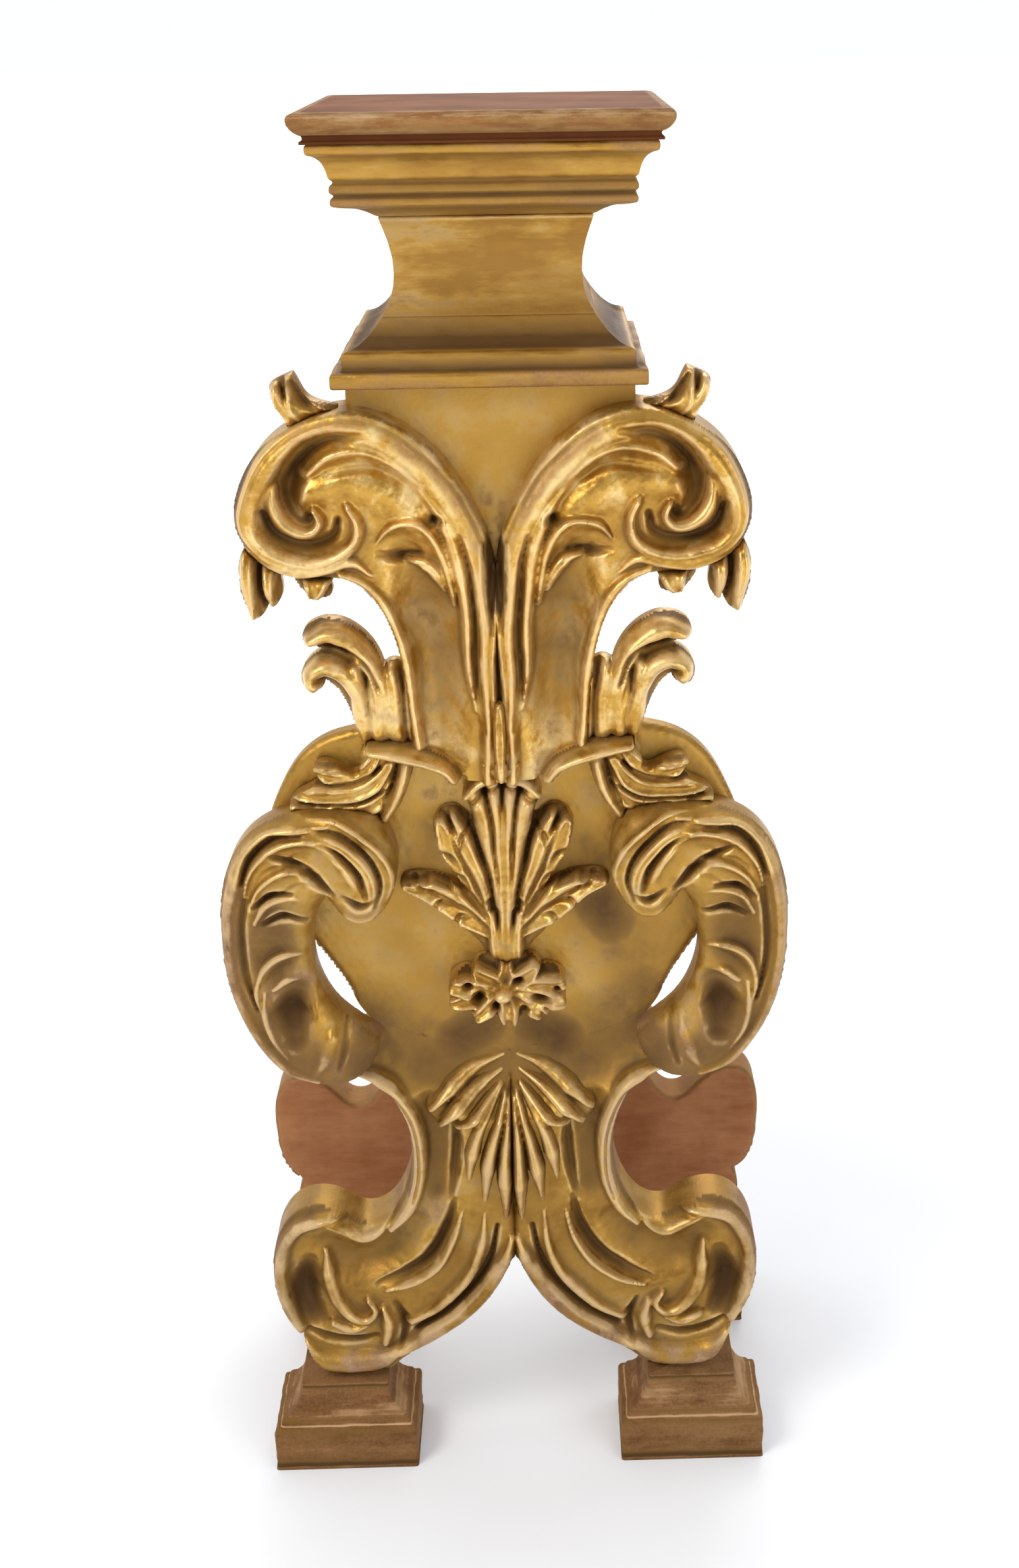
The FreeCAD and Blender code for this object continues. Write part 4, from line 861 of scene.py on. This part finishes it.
def draw_leg(r):
    edge = [(-152, 412), (-130, 406), (-109, 394), (-95, 374), (-87, 350), (-85, 323), (-89, 293), (-99, 267),
            (-114, 250)]
    r.groove([(-76, 412), (-70, 372), (-66, 330), (-68, 288)], [46, 50, 48, 36], [8, 12, 12, 8])
    r.groove([(-92, 252), (-118, 222), (-150, 212), (-176, 232)], [36, 62, 62, 36], [8, 17, 17, 8])
    r.front = np.minimum(r.front, leg_rise(r.x, r.z))
    r.stroke(edge, [8, 14, 15, 15, 14, 14, 14, 14, 8], [120, 128, 132, 133, 133, 133, 133], 18)
    r.groove([(-124, 399), (-105, 386), (-92, 366), (-86, 340), (-86, 308), (-93, 280)], [3, 5, 5, 5, 5, 3], 5)
    r.stroke([(-2, 232), (-12, 206), (-28, 179), (-52, 154), (-82, 132), (-110, 114)],
             [12, 20, 23, 23, 21, 14], [129, 132, 133, 133, 132], 22)
    r.stroke([(-28, 262), (-31, 228), (-46, 192), (-72, 163), (-104, 143)],
             [5, 13, 14, 14, 8], [124, 129, 130, 130, 128], 18)
    r.groove([(-16, 246), (-23, 214), (-38, 186), (-63, 158), (-96, 136)], [4, 9, 10, 10, 4], 9)
    r.groove([(-54, 276), (-62, 246), (-79, 216), (-102, 196), (-130, 185)],
             [6, 15, 17, 15, 6], [4, 12, 13, 11, 4])
    r.stroke([(-48, 264), (-56, 236), (-72, 208), (-96, 189), (-122, 179)],
             [3, 9, 10, 9, 4], [124, 130, 132, 131, 126], 16)
    r.stroke([(-182, 258), (-160, 251), (-140, 242), (-125, 250), (-113, 266)],
             [8, 16, 16, 15, 6], [129, 132, 133, 133, 130], 20)
    r.stroke([(-158, 262), (-180, 259), (-200, 252), (-213, 234), (-219, 210), (-220, 186), (-214, 162),
             (-204, 142)], [8, 14, 16, 18, 18, 18, 18, 14], 132, 22)
    r.groove([(-192, 212), (-198, 180), (-188, 150)], [22, 42, 24], [6, 20, 8])
    r.groove([(-52, 366), (-52, 332), (-54, 298), (-58, 276)], [6, 13, 13, 6], [3, 9, 9, 3])
    r.stroke([(-178, 222), (-175, 196), (-168, 172), (-155, 155), (-141, 151), (-132, 161), (-139, 172)],
             [8, 17, 19, 17, 15, 12, 6], [120, 129, 131, 132, 133, 133, 131], 22)
    r.stroke([(-174, 148), (-156, 141), (-140, 146)], [6, 14, 6], 132, 18)
    r.stroke([(-125, 162), (-121, 144), (-125, 124)], [8, 16, 10], [129, 132, 130], 20)
    r.groove([(-114, 164), (-106, 142), (-109, 122)], [6, 14, 6], [4, 11, 4])
    r.stroke([(-202, 122), (-184, 106), (-158, 101), (-132, 104), (-114, 114)], [16, 28, 31, 29, 16], 133, 26)
    r.groove([(-202, 142), (-180, 129), (-156, 124), (-133, 129)], [4, 11, 11, 6], [4, 9, 9, 5])
    r.stain([(-72, 400), (-68, 340), (-70, 290)], 50, soil=4)
    r.stain([(-20, 210), (-50, 165), (-90, 134)], 40, soil=4, worn=0.42)
    r.stain([(-190, 256), (-222, 230), (-226, 185), (-210, 140)], 30, soil=3, worn=0.45)
    # Painted shade in the eye of the scroll, with worn gilding
    r.stain([(-198, 195), (-196, 160)], 44, soil=9, worn=0.4)
    r.stain([(-120, 400), (-98, 365), (-91, 325), (-96, 290)], 18, worn=0.42)
    r.stain([(-120, 440), (-70, 420), (-10, 412)], 76, soil=5, worn=0.12)
    r.stain([(-24, 444), (-46, 430)], 48, soil=9)
    # Painted light on these two rolls; the lower one is also a little worn
    r.stain([(-136, 246), (-124, 252)], 20, soil=-4)
    r.stain([(-190, 112), (-156, 104), (-124, 108)], 30, soil=-2, worn=0.15)


def draw_leg_leaf(r):
    base = np.minimum(leg_rise(r.x, r.z), 118)
    r.front = base - 1.5
    fingers = [
        ([(-6, 412), (-28, 404), (-52, 389), (-75, 372)], [6, 15, 16, 4], [2, 8, 14, 11]),
        ([(-8, 398), (-28, 387), (-48, 373), (-66, 357)], [5, 13, 15, 4], [3, 10, 16, 12]),
        ([(-9, 388), (-24, 371), (-38, 358), (-52, 354)], [5, 10, 11, 4], [4, 11, 15, 10]),
        ([(-8, 386), (-26, 358), (-36, 328), (-42, 295)], [5, 11, 14, 4], [5, 13, 18, 11]),
        ([(-5, 380), (-14, 348), (-22, 314), (-27, 275)], [5, 11, 14, 4], [6, 14, 19, 12]),
        ([(-2, 376), (-5, 340), (-7, 300), (-7, 256)], [4, 10, 13, 4], [7, 16, 21, 13]),
    ]
    for points, widths, heights in fingers:
        r.stroke(points, widths, heights, 15, over=base)
    r.stain([(-14, 424), (-40, 406)], 40, soil=2)
    # Painted light on the tips of the upper fingers
    for points, _, _ in fingers[:3]:
        r.stain(points[2:], 12, soil=-4)


def draw_cartouche(r):
    r.front += 1.5 - 3.0 * ((r.x / 200) ** 2 + ((r.z - 570) / 180) ** 2)
    for side in (-1, 1):
        r.pit(side * 33, 442, 26, 1)
        r.stain([(side * 24, 444), (side * 46, 430)], 48, soil=9)
    r.stain([(-118, 452), (-66, 424), (0, 412), (66, 424), (118, 452)], 100, soil=6, worn=0.12)
    r.stain([(-96, 520), (-40, 470)], 50, soil=2)
    # Painted shade beside the palmette's lower leaf, under the right arm's end
    r.stain([(70, 600), (92, 548), (112, 510)], 96, soil=5)
    r.stain([(82, 562), (94, 544)], 46, soil=9)
    # Painted shade by the left arm's end
    r.stain([(-60, 640), (-74, 600)], 40, soil=4)
    r.stain([(-170, 700), (-110, 730)], 40, soil=-2)


def draw_palmette(r):
    for side in (-1, 1):
        def points(*drawn):
            return [(side * x, z) for x, z in drawn]
        r.stroke(points((12, 540), (34, 561), (60, 583), (88, 590)),
                 [10, 26, 26, 8], [113, 119, 122, 118], 14, cup)
        r.stroke(points((20, 556), (40, 580), (64, 595)), [6, 14, 6], [116, 122, 120], 12, veined)
        r.groove(points((16, 548), (38, 571), (66, 588)), [3, 8, 4], 7)
        r.stroke(points((18, 560), (33, 596), (45, 624), (55, 650)),
                 [12, 27, 29, 12], [115, 121, 125, 124], 16, cup)
        r.stroke(points((15, 578), (25, 614), (36, 642), (43, 657)),
                 [7, 15, 15, 6], [116, 123, 125, 122], 14, veined)
        r.groove(points((20, 574), (34, 612), (47, 646)), [3, 7, 4], 7)
        r.groove(points((13, 584), (21, 624), (29, 656)), [4, 8, 6], [4, 12, 8])
        r.stroke(points((6, 568), (10, 620), (18, 660), (27, 683)), [6, 14, 19, 15], [116, 122, 125, 125], 16)
        r.stroke(points((3, 552), (3.5, 610), (6, 660), (9, 692)), [5, 10, 14, 12], [118, 122, 125, 125], 14)
        r.stroke(points((9, 498), (9, 528), (12, 560)), [9, 13, 7], [115, 121, 118], 14, veined)
        r.groove(points((20, 560), (29, 578), (40, 593)), [4, 9, 6], [3, 6, 4])
        r.groove(points((6, 590), (9, 640), (14, 682)), [3, 6, 5], [3, 8, 5])
        for notch in (((57, 626), (46, 621), (38, 609)), ((48, 603), (38, 600), (31, 588)),
                      ((64, 570), (57, 577), (47, 574)), ((46, 553), (41, 562), (32, 560)),
                      ((80, 597), (73, 589), (63, 588)), ((30, 646), (36, 640), (38, 628))):
            r.groove(points(*notch), [6, 6, 3], [8, 8, 3])
    r.stroke([(0, 498), (0, 540), (0, 580)], [10, 16, 8], [115, 120, 119], 14, veined)
    r.stroke([(-33, 677), (-19, 690), (0, 695), (19, 690), (33, 677)], [7, 10, 10, 10, 7], 126, 10)
    r.groove([(-31, 668), (-15, 681), (0, 685), (15, 681), (31, 668)], [4, 8, 7, 8, 4], 7)
    r.stain([(0, 690), (0, 680)], 44, soil=3, worn=0.3)
    r.stain([(0, 660), (0, 590)], 50, soil=-2, worn=0.2)
    r.stain([(0, 560), (0, 510)], 40, soil=3, worn=0.2)


def draw_rosette(r):
    centre = np.array([0.0, 488.0])
    petals = [(160, 54, 24, 136), (196, 50, 22, 130), (232, 46, 20, 133), (272, 52, 20, 136),
              (310, 48, 20, 132), (350, 54, 24, 137), (20, 54, 22, 132), (58, 46, 20, 129), (92, 48, 18, 126),
              (126, 46, 20, 131)]
    for angle, reach, width, crest in petals:
        ray = np.array([math.cos(math.radians(angle)), 0.6 * math.sin(math.radians(angle))])
        r.stroke([centre + ray * 6, centre + ray * reach * 0.6, centre + ray * reach],
                 [8, width, width * 0.6], [120, crest - 3, crest], 20, cup)
    for x, z, radius in ((29, 481, 11), (-27, 485, 9), (-10, 474, 6), (10, 499, 6), (-36, 499, 6),
                         (14, 470, 6), (44, 492, 5)):
        r.pit(x, z, radius, 18)
    r.stroke([(-6, 489), (0, 489)], [12, 15, 12], 136, 12)


def draw_calyx(r):
    r.stroke([(0, 766), (0, 730), (0, 698)], [8, 16, 8], [142, 146, 143], 16, veined)
    for side in (-1, 1):
        r.stroke([(side * 4, 758), (side * 14, 740), (side * 20, 727)], [6, 14, 5], [140, 145, 142], 14, cup)
        r.groove([(side * 8, 752), (side * 9, 730), (side * 8, 708)], [3, 6, 3], 7)


def carve(name, node, outline, front, back, limit, edge, draw, material=GILT, seed=0, mirror=False,
          round_back=0.0, grid=GRID, flush=None):
    """Carves one board and puts it in place of its CAD node."""
    relief = Relief(outline, front, seed, grid)
    draw(relief)
    relief.soften()
    relief.roughen()
    relief.finish_edges(edge, -back + LEAST_THICKNESS, flush)
    piece = relief.mesh(name, back, limit, mirror, round_back)
    piece.data.set_sharp_from_angle(angle=RELIEF_SHARP)
    dress(piece, [node], material)


# Where a board runs on into the next one: 0 at the joint and 1 away from it
def leg_end(x, z):
    return np.clip((405 - z) / 20 + np.clip((-x - 118) / 8, 0, 3), 0, 1)


def cartouche_end(x, z):
    return np.clip((z - 462) / 14, 0, 1)


def volute_end(x, z):
    return np.clip((z - 855) / 30 + (-x - 6) / 4, 0, 1)


# Pairs of boards: front, back, limit of the front, rounding of the edge, drawing, bulge of the back, finish, joint
handed = [
    ("volute", 122, -74, 142, 9, draw_volute, 0, VOLUTE_GILT, volute_end),
    ("tip_leaf", 114, -98, 132, 10, draw_tip_leaf, 6, GILT, None),
    ("curl", 114, -96, 134, 10, draw_curl, 6, VOLUTE_GILT, None),
    ("clasp", 128, -96, 144, 7, draw_clasp, 0, GILT, None),
    ("shoulder_leaf", 112, -96, 126, 7, draw_shoulder_leaf, 0, GILT, None),
    ("arm", 139, -96, 149, 22, draw_arm, 10, LOWER_GILT, None),
    ("leg_front", 120, -74, 134, 10, draw_leg, 0, LOWER_GILT, leg_end),
    ("leg_leaf", 126, -90, 143, 5, draw_leg_leaf, 0, LOWER_GILT, leg_end),
    ("leg_rear", -105.5, 145, -105, 4, lambda r: None, 0, RED_PAINT, None),
]
for number, (name, front, back, limit, edge, draw, round_back, material, flush) in enumerate(handed):
    outline = largest_loop(f"{name}_left", front=name == "leg_leaf")
    slot, grid = ("red_paint", PLAIN_GRID) if material == RED_PAINT else ("gilt", GRID)
    for mirror, side in enumerate(("left", "right")):
        carve(f"carved_{name}_{side}", f"{name}_{side}", outline, front, back, limit, edge, draw, material,
              40 * number + 7 * mirror, bool(mirror), round_back, grid, flush)

# The husk's node holds two pieces: the outer one hangs beyond this place
HUSK_INNER = -180
for loop in sorted(node_outlines("husk_left"), key=lambda p: p[:, 0].min()):
    hanging = loop[:, 0].min() < HUSK_INNER
    for mirror, side in enumerate(("left", "right")):
        carve(f"carved_{'husk' if hanging else 'droplet'}_{side}", f"husk_{side}", loop, 118, -100, 136, 9,
              draw_husk if hanging else draw_droplet, seed=700 + mirror, mirror=bool(mirror), round_back=6)

# Boards on the centre line: front, back, limit of the front, rounding of the edge, drawing, grid, gilding, joint
centred = [
    ("cartouche", 94, -74, 96, 7, draw_cartouche, PANEL_GRID, PANEL_GILT, cartouche_end),
    ("palmette", 103, -96, 126, 6, draw_palmette, GRID, GILT, None),
    ("rosette", 108, -96, 138, 7, draw_rosette, FINE_GRID, GILT, None),
    ("calyx", 133, -126, 148, 5, draw_calyx, FINE_GRID, GILT, None),
]
for number, (name, front, back, limit, edge, draw, grid, material, flush) in enumerate(centred):
    carve(f"carved_{name}", name, largest_loop(name), front, back, limit, edge, draw, seed=800 + 10 * number,
          grid=grid, material=material, flush=flush)

kept = {"shoulder_panel": PANEL_GILT, "back_panel": BACK_WOOD, "ornament_nails": IRON}
kept.update({f"core_plank_{place}": SIDE_GILT for place in ("front", "middle", "rear")})
for name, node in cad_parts.items():
    if not node.hide_render:
        node.data.materials.clear()
        node.data.materials.append(kept.get(name, BARE_WOOD))

# Floor, light and camera: the floor reaches this far in millimetres, and its glow in metres
FLOOR_REACH, GLOW_REACH = 40000, 5.0


def floor_material():
    """A pale floor that glows into the white of the background away from the stand."""
    n = Nodes(bpy.data.materials.new("floor"))
    speck = n.noise(3)
    place = n.add("ShaderNodeTexCoord")["Object"]
    away = n.add("ShaderNodeVectorMath", {0: place}, operation="LENGTH")["Value"]
    return n.shade({"Base Color": n.ramp(speck, (0.3, (0.77, 0.785, 0.81)), (0.7, (0.8, 0.812, 0.832))),
                    "Roughness": n.total((speck, 0.1), 0.8), "Emission Color": (0.97, 0.985, 1.0),
                    "Emission Strength": n.ramp(n.maths("DIVIDE", away, GLOW_REACH), (0.1, 0.12), (0.5, 1.0))})


floor_corners = [(x * FLOOR_REACH, y * FLOOR_REACH, 0) for x, y in ((-1, -1), (1, -1), (1, 1), (-1, 1))]
floor = new_mesh("floor", floor_corners, [(0, 1, 2, 3)])
floor.data.materials.append(floor_material())


def studio():
    """A white background behind the stand and a dimmer room in front of it."""
    world = bpy.data.worlds.new("studio")
    n = Nodes(world)
    place = n.add("ShaderNodeTexCoord")["Generated"]
    parts = n.add("ShaderNodeSeparateXYZ", {0: place})
    level = n.total((parts["Y"], 0.3), (parts["Z"], 0.35), 0.5)
    glow = n.ramp(level, (0.2, (0.27, 0.27, 0.28)), (0.55, (0.5, 0.51, 0.53)), (0.78, (1.1, 1.12, 1.15)))
    background = n.tree.nodes["Background"]
    n.feed(background.inputs["Color"], glow)
    n.feed(background.inputs["Strength"], 0.9)
    return world


bpy.context.scene.world = studio()


def softbox(name, place, target, size, energy, colour):
    lamp = bpy.data.lights.new(name, "AREA")
    lamp.shape, lamp.size, lamp.energy, lamp.color = "SQUARE", size, energy, colour
    item = new_object(name, lamp)
    item.location = place
    item.rotation_euler = (Vector(target) - Vector(place)).to_track_quat("-Z", "Y").to_euler()


softbox("key", (-1.25, -1.35, 2.05), (0, 0, 0.8), 0.9, 29, (1.0, 0.97, 0.92))
softbox("fill", (1.7, -2.4, 1.1), (0, 0, 0.4), 1.4, 20, (0.95, 0.97, 1.0))
softbox("rear", (0.3, 2.2, 2.4), (0, 0, 0.7), 1.6, 30, (1.0, 1.0, 1.0))

# The camera was fitted to the photograph: its place, its turns in degrees, its focal length as a share of the
# image's height, and how far the lens is shifted, as the photograph is cut from a wider one.
CAMERA_PLACE = (0.0423, -1.7124, 1.3323)
YAW, PITCH, ROLL = math.radians(1.211), math.radians(18.661), math.radians(0.8)
FOCAL = 1.2693
SHIFT = (-0.0501, -0.075)
SENSOR = 36.0
FARTHEST = 200
lens = bpy.data.cameras.new("camera")
lens.sensor_fit, lens.sensor_height = "VERTICAL", SENSOR
lens.lens = FOCAL * SENSOR
lens.shift_x, lens.shift_y = SHIFT
lens.clip_end = FARTHEST
camera = new_object("camera", lens)
turns = ((-YAW, "Z"), (math.pi / 2 - PITCH, "X"), (-ROLL, "Z"))
first, second, third = (Matrix.Rotation(angle, 4, axis) for angle, axis in turns)
camera.matrix_world = Matrix.Translation(CAMERA_PLACE) @ first @ second @ third
bpy.context.scene.camera = camera
bpy.context.scene.view_settings.view_transform = "Standard"
